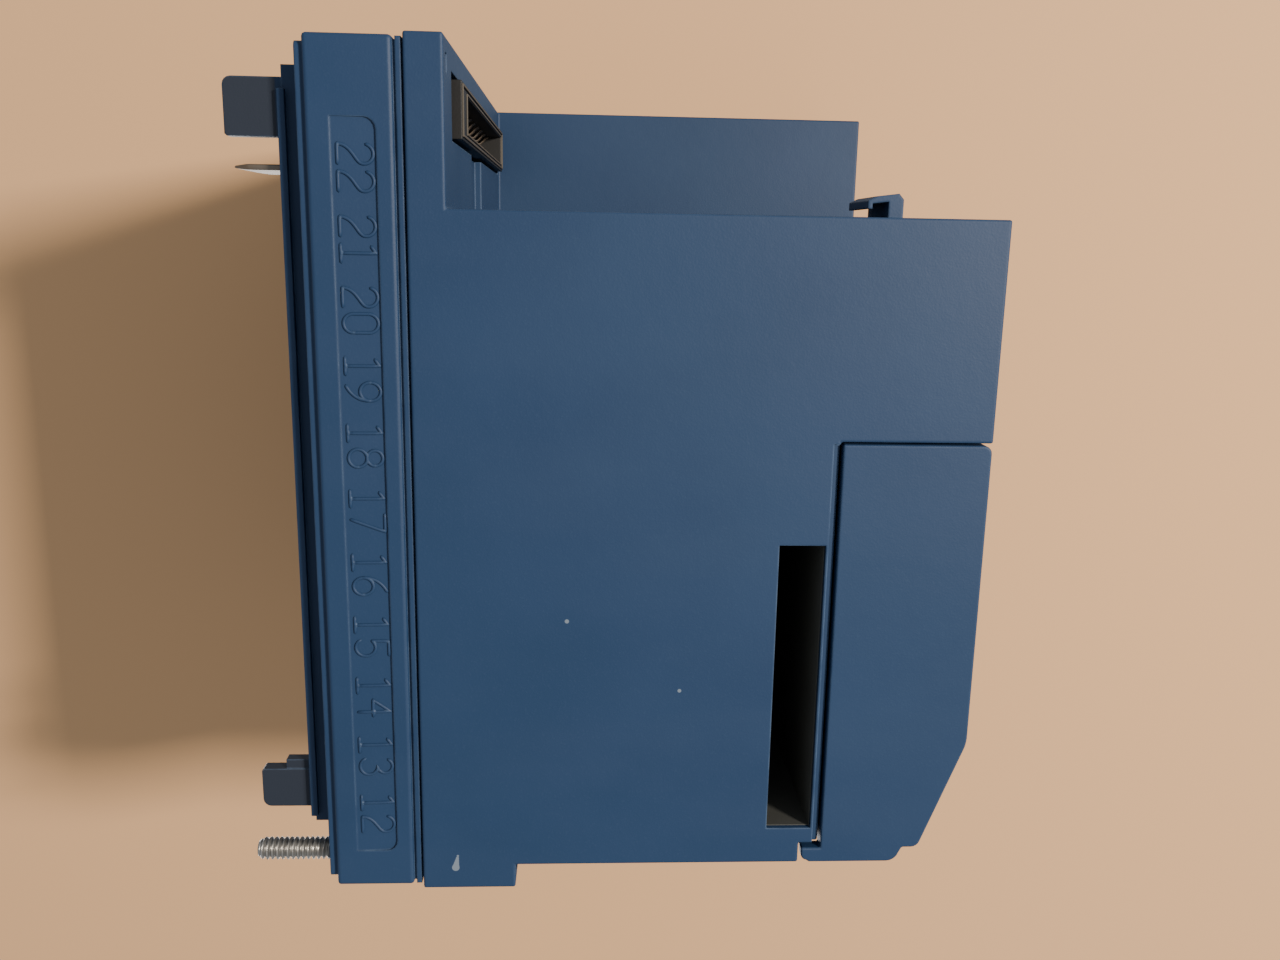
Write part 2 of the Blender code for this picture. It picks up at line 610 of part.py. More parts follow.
def screws():
    """Captive screws with their washers, drawn fully out, and the screws that hold base to housing."""
    washer_y = SCREW_SHOULDER - GAP
    head_rear = washer_y - WASHER_THICKNESS - GAP
    for name, corner in SCREWS:
        x = corner * SCREW_X
        z = corner * SCREW_Z
        steps = (
            (head_rear - HEAD_HEIGHT, HEAD_RADIUS - 0.0004),
            (head_rear - HEAD_HEIGHT + 0.0004, HEAD_RADIUS),
            (head_rear, HEAD_RADIUS),
            (head_rear, SCREW_NECK_RADIUS),
            (SCREW_REACH - SCREW_THREAD, SCREW_NECK_RADIUS),
            (SCREW_REACH - SCREW_THREAD, SCREW_RADIUS),
            (SCREW_REACH - 0.0008, SCREW_RADIUS),
            (SCREW_REACH, SCREW_RADIUS - 0.0006),
        )
        screw = rod(f"captive_screw_{name}", x, z, steps, STEEL)
        slot_y = (head_rear - 2 * HEAD_HEIGHT, head_rear - HEAD_HEIGHT / 2)
        slot = box("slot", centred(x, 0.0010), slot_y, centred(z, 3 * HEAD_RADIUS))
        cut(screw, slot)
        washer_steps = ((washer_y - WASHER_THICKNESS, HEAD_RADIUS), (washer_y, HEAD_RADIUS))
        washer = rod(f"captive_washer_{name}", x, z, washer_steps, STEEL)
        eye = SCREW_NECK_RADIUS + GAP
        cut(washer, rod("eye", x, z, ((washer_y - WALL, eye), (washer_y + WALL, eye))))
    for name, x, z, _ in CASE_SCREWS:
        head_top = -GAP
        under_head = -WALL + GAP
        steps = (
            (BOARD_FRONT - 0.0160, CASE_SCREW_RADIUS - 0.0006),
            (BOARD_FRONT - 0.0145, CASE_SCREW_RADIUS),
            (under_head, CASE_SCREW_RADIUS),
            (under_head, COUNTERBORE - GAP),
            (head_top, COUNTERBORE - 2 * GAP),
        )
        screw = rod(f"case_screw_{name}", x, z, steps, STEEL, 20)
        slot = box("slot", centred(x, 0.0008), (under_head / 2, WALL), centred(z, 4 * COUNTERBORE))
        cut(screw, slot)


# ---- Boards and what stands on them -------------------------------------------------------------

RELAY_SIZE = (0.0130, 0.0250, 0.0290)
RELAY_PITCH = 0.0160
RELAY_Z = 0.0275
RELAYS = ("alarm", "blower", "ignition", "pilot_valve", "main_valve")
LOGIC_REAR = SEAT + SLOT_RAIL + SLOT_DEPTH + SLOT_SKIN + 0.0032
LOGIC_FRONT = LOGIC_REAR - BOARD
STATUS_FRONT = FRONT + 0.0103
CORE = (0.0410, 0.0340, 0.0200)
CORE_X = -0.0205
CORE_Z = -0.0190
CORE_LEG = 0.0068
RISER_X = 0.0508


def relay_board():
    edge = BASE_SIDE - WALL - 2 * GAP
    low = -BASE_TOP + WALL + 2 * GAP
    high = SCREW_Z - DRIVER_RADIUS - 2 * GAP
    span = (BOARD_FRONT, -BOARD_REAR)
    board = box("relay_board", mirrored(edge), span, (low, high), GREEN_BOARD)
    corner_x = (-SIDE, -SCREW_X + DRIVER_RADIUS + 2 * GAP)
    corner_z = (BOTTOM, -SCREW_Z + DRIVER_RADIUS + 2 * GAP)
    holes = [box("board_corner", corner_x, (2 * BOARD_FRONT, 0.0), corner_z)]
    through = (2 * BOARD_FRONT, 0.0)
    for side, places in ((-1, LIVE_LEFT), (1, LIVE_RIGHT)):
        middle = side * (SIDE - BLADE_INSET - BLADE_WIDTH / 2)
        for place in places:
            slot_x = centred(middle, 0.0040 + 2 * GAP)
            slot_z = centred(terminal_z(place), BLADE_THICKNESS + 2 * GAP)
            holes.append(box("tail_slot", slot_x, through, slot_z))
    for _, x, z, _ in CASE_SCREWS:
        wide = CASE_SCREW_RADIUS + GAP
        holes.append(rod("screw_hole", x, z, ((through[0], wide), (through[1], wide))))
    return cut(board, *holes)


def relays():
    """Sealed relays in a row on the relay board, each with a shallow foot ring."""
    wide, deep, tall = RELAY_SIZE
    first = -RELAY_PITCH * (len(RELAYS) - 1) / 2 - 0.0020
    for place, name in enumerate(RELAYS):
        x = first + place * RELAY_PITCH
        span = (BOARD_FRONT - GAP - deep, BOARD_FRONT - GAP)
        case = box(f"{name}_relay", centred(x, wide), span, centred(RELAY_Z, tall), RELAY_BLUE)
        soften(case, 0.0006, 1)
        vent_y = (span[0] - WALL, span[0] + 0.0006)
        vent = box("vent", centred(x, 0.0014), vent_y, centred(RELAY_Z + tall / 3, 0.0014))
        cut(case, vent)


def transformer():
    """A shell-type core with its coil on the centre leg."""
    wide, deep, thick = CORE
    rear = BOARD_FRONT - GAP
    front = rear - deep
    core = box("transformer_core", centred(CORE_X, wide), (front, rear), centred(CORE_Z, thick), IRON)
    leg = 2 * CORE_LEG
    window = (wide - 2 * CORE_LEG - leg) / 2
    for side in (-1, 1):
        middle = CORE_X + side * (leg + window) / 2
        window_y = (front + CORE_LEG, rear - CORE_LEG)
        cut(core, box("window", centred(middle, window), window_y, centred(CORE_Z, 2 * thick)))
    coil_y = (front + CORE_LEG + GAP, rear - CORE_LEG - GAP)
    coil_x = centred(CORE_X, leg + 2 * window - 2 * GAP)
    coil = box("transformer_coil", coil_x, coil_y, centred(CORE_Z, thick + 0.0120), TAPE)
    soften(coil, 0.0012, 2)
    leg_x = centred(CORE_X, leg + 2 * GAP)
    leg_y = (coil_y[0] - WALL, coil_y[1] + WALL)
    cut(coil, box("leg_way", leg_x, leg_y, centred(CORE_Z, thick + 2 * GAP)))


def small_components():
    rear = BOARD_FRONT - GAP
    can = rod("smoothing_capacitor", 0.0130, -0.0200,
              ((rear - 0.0300, 0.0076), (rear - 0.0294, 0.0082), (rear - 0.0030, 0.0082),
               (rear - 0.0024, 0.0077), (rear - 0.0018, 0.0082), (rear, 0.0082)), SLEEVE)
    vent_y = (rear - 0.0310, rear - 0.0297)
    cut(can, box("vent", centred(0.0130, 0.0006), vent_y, centred(-0.0200, 0.0090)))
    film_y = (rear - 0.0170, rear)
    film = box("suppression_capacitor", (0.0240, 0.0420), film_y, centred(-0.0050, 0.0085), TAPE)
    soften(film, 0.0006, 1)
    holder_y = (rear - 0.0080, rear)
    holder = box("fuse_holder", (-0.0380, -0.0130), holder_y, centred(0.0035, 0.0090), BLACK)
    fuse_y = rear - 0.0050
    fuse_z = 0.0035
    radius = 0.0026
    trough_y = (fuse_y - 0.0100, fuse_y + radius + GAP)
    trough_z = centred(fuse_z, 2 * radius + 2 * GAP)
    cut(holder, box("trough", (-0.0360, -0.0150), trough_y, trough_z))
    turn = [2 * math.pi * i / 16 for i in range(16)]
    ring = [(fuse_y + radius * math.cos(a), fuse_z + radius * math.sin(a)) for a in turn]
    prism("fuse", ring, "X", (-0.0355, -0.0155), GLASS)


def logic_board():
    edge = SIDE - WALL - 0.0030
    span = (LOGIC_FRONT, LOGIC_REAR)
    high = BODY_TOP - WALL - 0.0060
    low = CEILING + WALL + 0.0020
    box("logic_board", mirrored(edge), span, (low, high), GREEN_BOARD)
    chip_y = (LOGIC_REAR + GAP, LOGIC_REAR + 0.0038)
    chip = box("processor", centred(-0.0150, 0.0520), chip_y, centred(0.0150, 0.0140), CHIP)
    notch_y = (LOGIC_REAR + 0.0030, LOGIC_REAR + 0.0060)
    cut(chip, box("notch", centred(-0.0400, 0.0040), notch_y, centred(0.0150, 0.0030)))


def riser_board():
    """The card that joins the relay board to the logic board, with a header at each end."""
    span_z = (-0.0250, 0.0150)
    ends = (LOGIC_REAR + GAP, BOARD_FRONT - GAP)
    riser = box("riser_board", centred(RISER_X, BOARD), ends, span_z, GREEN_BOARD)
    header_z = (span_z[0] + 0.0030, span_z[1] - 0.0030)
    wide = centred(RISER_X, 0.0052)
    front = box("front_header", wide, (ends[0], ends[0] + 0.0080), header_z)
    rear = box("rear_header", wide, (ends[1] - 0.0080, ends[1]), header_z)
    return join(riser, front, rear)


def status_board():
    """The small board behind the indicator panel, its lamps, and the switch behind the reset button."""
    span = (STATUS_FRONT, STATUS_FRONT + BOARD)
    wide = (-SIDE + WALL + 0.0015, BAY_LEFT - WALL - 0.0015)
    tall = (BOTTOM + WALL + 0.0015, BAND_TOP - WALL - 0.0015)
    board = box("status_board", wide, span, tall, GREEN_BOARD)
    clear = DRIVER_RADIUS + WALL + 0.0010
    corner_x = (-SIDE, -SCREW_X + clear)
    corner_z = (BOTTOM, -SCREW_Z + clear)
    cut(board, box("status_corner", corner_x, (FRONT, STATUS_FRONT + 2 * BOARD), corner_z))
    for place, (name, finish) in enumerate(LEDS):
        z = LED_TOP - place * LED_PITCH
        lead_end = STATUS_FRONT - GAP
        steps = (
            (FRONT - 0.0007, LED_RADIUS * 0.55),
            (FRONT - 0.0003, LED_RADIUS * 0.90),
            (FRONT + 0.0003, LED_RADIUS),
            (FRONT + 0.0050, LED_RADIUS),
            (FRONT + 0.0050, LED_RADIUS + 0.0003),
            (FRONT + 0.0060, LED_RADIUS + 0.0003),
            (FRONT + 0.0060, 0.0009),
            (lead_end, 0.0009),
        )
        rod(name, LED_X, z, steps, finish, 16)
    switch_y = (STATUS_FRONT - 0.0017, STATUS_FRONT - GAP)
    box("reset_switch", centred(RESET_X, 0.0050), switch_y, centred(RESET_Z, 0.0050), BLACK)
    return board


def reset_button():
    """The push button, its inner flange and stem, and the coil spring behind the flange."""
    flange = 0.0015
    wall_rear = FRONT + WALL
    button_y = (FRONT - RESET_PROUD, wall_rear + GAP + 0.0006)
    wide = centred(RESET_X, RESET_WIDTH)
    tall = centred(RESET_Z, RESET_HEIGHT)
    button = box("reset_button", wide, button_y, tall, GREY)
    soften(button, 0.0006, 2)
    flange_y = (wall_rear + GAP, wall_rear + GAP + 0.0012)
    flange_x = centred(RESET_X, RESET_WIDTH + 2 * flange)
    flange_z = centred(RESET_Z, RESET_HEIGHT + 2 * flange)
    plate = box("flange", flange_x, flange_y, flange_z)
    stem_end = STATUS_FRONT - 0.0017 - RESET_TRAVEL - GAP
    stem_steps = ((flange_y[0], 0.0016), (stem_end, 0.0016))
    join(button, plate, rod("stem", RESET_X, RESET_Z, stem_steps))
    coil_spring(flange_y[1] + GAP, STATUS_FRONT - GAP)
    return button


def coil_spring(start, end):
    """A round-wire compression spring along Y, its wire a closed tube along a helix."""
    wire = 0.00030
    radius = 0.0043
    turns = 4
    steps = 12 * turns
    sides = 6
    work = bmesh.new()
    rings = []
    low = start + wire
    rise = end - wire - low
    for i in range(steps + 1):
        angle = 2 * math.pi * turns * i / steps
        out = Vector((math.cos(angle), 0.0, math.sin(angle)))
        middle = Vector((RESET_X, low + rise * i / steps, RESET_Z)) + radius * out
        ring = []
        for k in range(sides):
            around = 2 * math.pi * k / sides
            offset = wire * (math.cos(around) * out + math.sin(around) * Vector((0.0, 1.0, 0.0)))
            ring.append(work.verts.new(middle + offset))
        rings.append(ring)
    for near, far in zip(rings, rings[1:]):
        for k in range(sides):
            j = (k + 1) % sides
            work.faces.new((near[k], near[j], far[j], far[k]))
    work.faces.new(rings[0])
    work.faces.new(rings[-1])
    return add("reset_spring", work, STEEL)


def status_label():
    span = (FRONT + GAP / 2, FRONT + LABEL_DEPTH - GAP / 2)
    inside = GAP
    wide = (LABEL_X[0] + inside, LABEL_X[1] - inside)
    tall = (LABEL_Z[0] + inside, LABEL_Z[1] - inside)
    label = box("status_label", wide, span, tall, LABEL)
    through = (FRONT - WALL, FRONT + WALL)
    wide = LED_RADIUS + GAP
    for place in range(len(LEDS)):
        z = LED_TOP - place * LED_PITCH
        cut(label, rod("hole", LED_X, z, ((through[0], wide), (through[1], wide)), sides=16))
    return label


def connectors():
    """The sockets for the plug-in amplifier, the option card and the display."""
    middle = OPENING_X[0] + GAP + CONNECTOR_LENGTH / 2 + 0.0004
    height = sum(OPENING_Z) / 2
    face = BAY_REAR - CONNECTOR_PROUD
    body_y = (face, BOARD_FRONT - GAP)
    body_x = centred(middle, CONNECTOR_LENGTH)
    body = box("amplifier_connector", body_x, body_y, centred(height, CONNECTOR_HEIGHT), BLACK)
    slot_x = centred(middle - 0.0020, CONNECTOR_LENGTH - 0.0110)
    cut(body, box("slot", slot_x, (face - WALL, face + 0.0070), centred(height, CONNECTOR_MOUTH)))
    card_x = (CARD_X - SLOT_SKIN - 0.0070, CARD_X - GAP)
    card_y = (CARD_Y[0] + 0.0010 + GAP, CARD_Y[1] - 0.0010 - GAP)
    card_z = (CARD_LOW + 0.0060 + GAP, CARD_LOW + SLOT_HEIGHT - 0.0060 - GAP)
    card = box("option_card_connector", card_x, card_y, card_z, BLACK)
    mouth_x = (card_x[1] - 0.0050, card_x[1] + WALL)
    mouth_z = (card_z[0] + 0.0030, card_z[1] - 0.0030)
    cut(card, box("slot", mouth_x, centred(sum(card_y) / 2, 0.0018), mouth_z))
    socket_x = centred(0.0, PLUG_WIDTH - 2 * GAP - 0.0020)
    socket_y = (SEAT + 0.0004, LOGIC_FRONT - GAP)
    socket_z = centred(PLUG_Z, PLUG_HEIGHT - 2 * GAP)
    socket = box("display_socket", socket_x, socket_y, socket_z, BLACK)
    mouth = centred(PLUG_Z, PLUG_SLOT)
    cut(socket, box("slot", centred(0.0, TONGUE_WIDTH + 2 * RUN), (SEAT - WALL, PLUG_TIP + 0.0010), mouth))


# ---- Display module -----------------------------------------------------------------------------

TONGUE_WIDTH = 0.0240
PLUG_SLOT = 0.0036
PLUG_TIP = SEAT + 0.0045
DISPLAY_REAR = SEAT - 0.0004
DISPLAY_LOW = BAND_TOP + 0.00035
CHAMFER_START = BODY_TOP - 0.01995
CHAMFER_END_Y = FRONT + 0.0066
CHAMFER_END_Z = BODY_TOP - 0.0024
LEDGE_Y = FRONT + 0.0090
DISPLAY_INSIDE_TOP = SCREW_Z - DRIVER_RADIUS - DISPLAY_WALL
WINDOW_Z = DISPLAY_LOW + 0.0312
KEY_Z = DISPLAY_LOW + 0.0092
BOARD_Y = FRONT + 0.0093
LENS_DEPTH = 0.0010
LENS_MARGIN = 0.0025


def display_case():
    """The display's front shell, its ear along the top hooked over the housing's step."""
    front = FRONT + 0.00005
    ear_y = SEAT + EAR_REACH - 0.0004 - EAR_RADIUS
    ear_z = BODY_TOP - EAR_RADIUS - EAR_NOTCH
    low_round = 0.0012
    slope = math.degrees(math.atan2(CHAMFER_END_Z - CHAMFER_START, CHAMFER_END_Y - front))
    bend = 0.0060
    setback = bend * math.tan(math.radians((90 - slope) / 2))
    brow = 0.0014
    brow_back = brow * math.tan(math.radians(slope / 2))
    step_round = 0.0020
    profile = [
        (DISPLAY_REAR, DISPLAY_LOW),
        *arc(front + low_round, DISPLAY_LOW + low_round, low_round, 270, 180, 5),
        *arc(front + bend, CHAMFER_START - setback, bend, 180, 90 + slope, 7),
        *arc(CHAMFER_END_Y + brow_back, CHAMFER_END_Z - brow, brow, 90 + slope, 90, 4),
        (LEDGE_Y, CHAMFER_END_Z),
        *arc(LEDGE_Y + step_round + 0.0004, BODY_TOP - step_round, step_round, 165, 90, 4),
        (ear_y - 0.0002, BODY_TOP),
        *arc(ear_y, ear_z, EAR_RADIUS, 90, 0, 5),
        (ear_y + EAR_RADIUS, EAR_STEP + 0.0009),
        (DISPLAY_REAR, EAR_STEP + 0.0009),
    ]
    case = prism("display_case", profile, "X", mirrored(SIDE), BLUE)
    soften(case, 0.0004, 1)
    inner = SIDE - DISPLAY_WALL
    inside = [
        (DISPLAY_REAR + WALL, DISPLAY_LOW + DISPLAY_WALL),
        (front + DISPLAY_WALL, DISPLAY_LOW + DISPLAY_WALL),
        (front + DISPLAY_WALL, CHAMFER_START - DISPLAY_WALL / 2),
        (front + 2.4 * DISPLAY_WALL, DISPLAY_INSIDE_TOP - DISPLAY_WALL / 2),
        (DISPLAY_REAR + WALL, DISPLAY_INSIDE_TOP - DISPLAY_WALL / 2),
    ]
    cut(case, prism("display_cavity", inside, "X", mirrored(inner)))
    steps = ((FRONT - WALL, DRIVER_RADIUS), (SEAT + 2 * WALL, DRIVER_RADIUS))
    cut(case, rod("driver_way", SCREW_X, SCREW_Z, steps))
    lens_y = (front - WALL, front + LENS_DEPTH)
    cut(case, box("lens_recess", mirrored(WINDOW_WIDTH / 2), lens_y, centred(WINDOW_Z, WINDOW_HEIGHT)))
    view_x = mirrored(WINDOW_WIDTH / 2 - LENS_MARGIN)
    view_z = centred(WINDOW_Z, WINDOW_HEIGHT - 2 * LENS_MARGIN)
    cut(case, box("view", view_x, (front - WALL, front + 2 * DISPLAY_WALL), view_z))
    for x in key_places():
        hole_x = centred(x, KEY_WIDTH + 2 * RUN)
        hole_z = centred(KEY_Z, KEY_HEIGHT + 2 * RUN)
        cut(case, box("key_hole", hole_x, (front - WALL, front + 2 * DISPLAY_WALL), hole_z))
    return case


def key_places():
    return [KEY_PITCH * (i - (KEYS - 1) / 2) for i in range(KEYS)]


def display_parts():
    """What the display's shell holds: window, liquid crystal panel, board, keypad, plug and back."""
    front = FRONT + 0.00005
    inner = SIDE - DISPLAY_WALL
    lens_y = (front + 0.0001, front + LENS_DEPTH - GAP / 2)
    lens_x = mirrored(WINDOW_WIDTH / 2 - GAP)
    box("display_window", lens_x, lens_y, centred(WINDOW_Z, WINDOW_HEIGHT - 2 * GAP), GLASS)
    panel_y = (front + DISPLAY_WALL + GAP, BOARD_Y - GAP)
    panel_z = centred(WINDOW_Z, WINDOW_HEIGHT + 0.0080)
    panel = box("lcd_panel", mirrored(WINDOW_WIDTH / 2 + 0.0060), panel_y, panel_z, LCD_GLASS)
    soften(panel, 0.0004, 1)
    board_z = (DISPLAY_LOW + DISPLAY_WALL + 0.0006, DISPLAY_INSIDE_TOP - 0.0030)
    board_y = (BOARD_Y, BOARD_Y + BOARD)
    box("display_board", mirrored(inner - 0.0020), board_y, board_z, GREEN_BOARD)
    mat_y = (BOARD_Y - GAP - 0.0032, BOARD_Y - GAP)
    mat_x = mirrored(KEY_PITCH * KEYS / 2)
    mat_z = (board_z[0], panel_z[0] - 0.0006)
    box("keypad_mat", mat_x, mat_y, mat_z, GREY)
    for place, x in enumerate(key_places()):
        cap_y = (front - KEY_PROUD, front + DISPLAY_WALL + GAP + 0.0004)
        key = box(f"display_key_{place + 1}", centred(x, KEY_WIDTH), cap_y,
                  centred(KEY_Z, KEY_HEIGHT), KEY_GREY)
        soften(key, 0.0005, 2)
        flange_y = (front + DISPLAY_WALL + GAP, front + DISPLAY_WALL + GAP + 0.0008)
        flange = box("flange", centred(x, KEY_WIDTH + 0.0020), flange_y, centred(KEY_Z, KEY_HEIGHT + 0.0016))
        stem_y = (flange_y[0], mat_y[0] - KEY_TRAVEL - GAP)
        stem = box("stem", centred(x, 0.0040), stem_y, centred(KEY_Z, 0.0030))
        join(key, flange, stem)
    back_y = (DISPLAY_REAR - DISPLAY_WALL - GAP, DISPLAY_REAR - GAP)
    back_x = mirrored(inner - GAP)
    back_z = (DISPLAY_LOW + DISPLAY_WALL + GAP, DISPLAY_INSIDE_TOP - DISPLAY_WALL / 2 - GAP)
    back = box("display_back", back_x, back_y, back_z, DARK_BLUE)
    way = centred(PLUG_Z, PLUG_HEIGHT - 0.0020)
    cut(back, box("plug_way", centred(0.0, PLUG_WIDTH - 0.0040), (BOARD_Y, SEAT), way))
    body_y = (BOARD_Y + BOARD + GAP, DISPLAY_REAR - GAP)
    body_z = centred(PLUG_Z, PLUG_HEIGHT - 0.0020 - 2 * GAP)
    plug = box("display_plug", centred(0.0, PLUG_WIDTH - 0.0040 - 2 * GAP), body_y, body_z, BLACK)
    tongue_z = centred(PLUG_Z, BOARD)
    join(plug, box("tongue", mirrored(TONGUE_WIDTH / 2), (body_y[1] - WALL, PLUG_TIP), tongue_z))


# ---- Build --------------------------------------------------------------------------------------


def clear_scene():
    for old in list(bpy.data.objects):
        bpy.data.objects.remove(old)


def main():
    rear_base()
    housing()
    blades()
    screws()
    relay_board()
    relays()
    transformer()
    small_components()
    logic_board()
    riser_board()
    status_board()
    reset_button()
    status_label()
    connectors()
    display_case()
    display_parts()


clear_scene()
main()
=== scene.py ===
import bmesh
import bpy
import numpy as np
from mathutils import Matrix, Vector


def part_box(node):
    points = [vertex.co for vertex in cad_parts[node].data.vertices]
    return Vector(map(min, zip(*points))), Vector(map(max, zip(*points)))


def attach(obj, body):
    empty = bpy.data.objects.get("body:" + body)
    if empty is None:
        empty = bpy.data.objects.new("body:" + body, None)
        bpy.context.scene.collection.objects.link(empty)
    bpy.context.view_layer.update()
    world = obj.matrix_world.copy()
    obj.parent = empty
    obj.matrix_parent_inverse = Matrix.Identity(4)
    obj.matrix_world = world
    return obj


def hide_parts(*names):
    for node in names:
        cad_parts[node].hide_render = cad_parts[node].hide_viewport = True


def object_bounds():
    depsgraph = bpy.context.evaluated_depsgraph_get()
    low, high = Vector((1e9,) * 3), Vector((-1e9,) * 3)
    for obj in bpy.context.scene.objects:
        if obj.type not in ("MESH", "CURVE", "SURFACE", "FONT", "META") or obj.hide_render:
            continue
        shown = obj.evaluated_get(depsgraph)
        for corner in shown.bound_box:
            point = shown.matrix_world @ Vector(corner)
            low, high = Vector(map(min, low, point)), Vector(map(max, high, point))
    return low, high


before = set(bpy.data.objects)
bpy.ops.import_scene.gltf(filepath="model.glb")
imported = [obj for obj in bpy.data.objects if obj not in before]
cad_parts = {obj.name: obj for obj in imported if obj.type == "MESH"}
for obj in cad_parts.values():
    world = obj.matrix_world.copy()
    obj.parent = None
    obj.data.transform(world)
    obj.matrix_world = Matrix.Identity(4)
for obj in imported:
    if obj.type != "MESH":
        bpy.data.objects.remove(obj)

cad_box = [list(corner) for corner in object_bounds()]

# A plug-in burner control module: a rear base with knife blades, a stepped blue housing with a bay for
# a flame amplifier, and a display that swings on its top edge. Metres, front at -Y, top at +Z.

# ---- How it lies and how it is seen ---------------------------------------------------------------
# The module lies on its left side, so its right side faces up at whoever stands over it, and the
# terminal numbers run down the picture's left edge. A short lens looks down from two hand-spans away.

EYE = Vector((0.21848, -0.04231, -0.03623))
LENS = 30.94
look = Vector((-0.97586, -0.05119, 0.21231)).normalized()
picture_right = Vector((0.21298, -0.00790, 0.97702)).cross(look).normalized()
picture_up = picture_right.cross(look)
aim = Matrix((picture_right, picture_up, -look)).transposed().to_4x4()
camera = bpy.data.objects.new("camera", bpy.data.cameras.new("camera"))
camera.data.lens = LENS
camera.data.clip_start = 0.01
camera.matrix_world = Matrix.Translation(EYE) @ aim
bpy.context.scene.collection.objects.link(camera)
bpy.context.scene.camera = camera

# ---- The surface under it and the light -----------------------------------------------------------
# A plain pale sheet under the left side, seen from above only, so that nothing hides the module from
# behind. One small warm lamp stands past the front face, with a weak lamp below and cool light all round.

FLOOR_REACH = 1.6
FLOOR_COLOUR = (0.690, 0.410, 0.205, 1.0)
ROOM_COLOUR = (0.88, 0.92, 0.98, 1.0)
ROOM_STRENGTH = 0.46
FLOOR_CLEARANCE = 0.0005
LAMP_SIZES = (0.14, 0.60)
LAMP_POWERS = (20.0, 5.0)
LAMP_COLOURS = ((1.0, 0.89, 0.77), (1.0, 0.97, 0.94))


def floor_sheet(height):
    """A flat sheet square to X: its corners are the four sums of plus and minus the reach in Y and Z."""
    turn = np.radians([45.0, 135.0, 225.0, 315.0])
    reach = FLOOR_REACH * np.sqrt(2.0)
    corners = np.stack([np.full(4, height), reach * np.cos(turn), reach * np.sin(turn)], axis=1)
    mesh = bpy.data.meshes.new("floor")
    mesh.from_pydata(corners.tolist(), [], [(0, 1, 2, 3)])
    return bpy.data.objects.new("floor", mesh)


def floor_finish():
    """Matt cloth colour from above and nothing from below."""
    made = bpy.data.materials.new("floor")
    made.use_nodes = True
    nodes = made.node_tree.nodes
    links = made.node_tree.links
    nodes["Principled BSDF"].inputs["Base Color"].default_value = FLOOR_COLOUR
    nodes["Principled BSDF"].inputs["Roughness"].default_value = 0.9
    clear = nodes.new("ShaderNodeBsdfTransparent")
    side = nodes.new("ShaderNodeNewGeometry")
    either = nodes.new("ShaderNodeMixShader")
    links.new(side.outputs["Backfacing"], either.inputs["Fac"])
    links.new(nodes["Principled BSDF"].outputs[0], either.inputs[1])
    links.new(clear.outputs[0], either.inputs[2])
    links.new(either.outputs[0], nodes["Material Output"].inputs["Surface"])
    return made


def lamp(name, place, aimed_at, size, power, colour):
    """A square soft light turned to face a point."""
    data = bpy.data.lights.new(name, "AREA")
    data.size = size
    data.energy = power
    data.color = colour
    made = bpy.data.objects.new(name, data)
    made.location = place
    made.rotation_mode = "QUATERNION"
    made.rotation_quaternion = (Vector(aimed_at) - Vector(place)).to_track_quat("-Z", "Y")
    bpy.context.scene.collection.objects.link(made)
    return made


floor = floor_sheet(cad_box[0][0] - FLOOR_CLEARANCE)
floor.data.materials.append(floor_finish())
floor.visible_shadow = False
floor.visible_glossy = False
bpy.context.scene.collection.objects.link(floor)
middle = (0.0, -0.050, 0.0)
lamp("front_lamp", (0.85, -0.71, -0.24), middle, LAMP_SIZES[0], LAMP_POWERS[0], LAMP_COLOURS[0])
lamp("under_lamp", (-0.60, 0.25, 0.35), middle, LAMP_SIZES[1], LAMP_POWERS[1], LAMP_COLOURS[1])
world = bpy.data.worlds.new("room")
world.use_nodes = True
world.node_tree.nodes["Background"].inputs["Color"].default_value = ROOM_COLOUR
world.node_tree.nodes["Background"].inputs["Strength"].default_value = ROOM_STRENGTH
bpy.context.scene.world = world
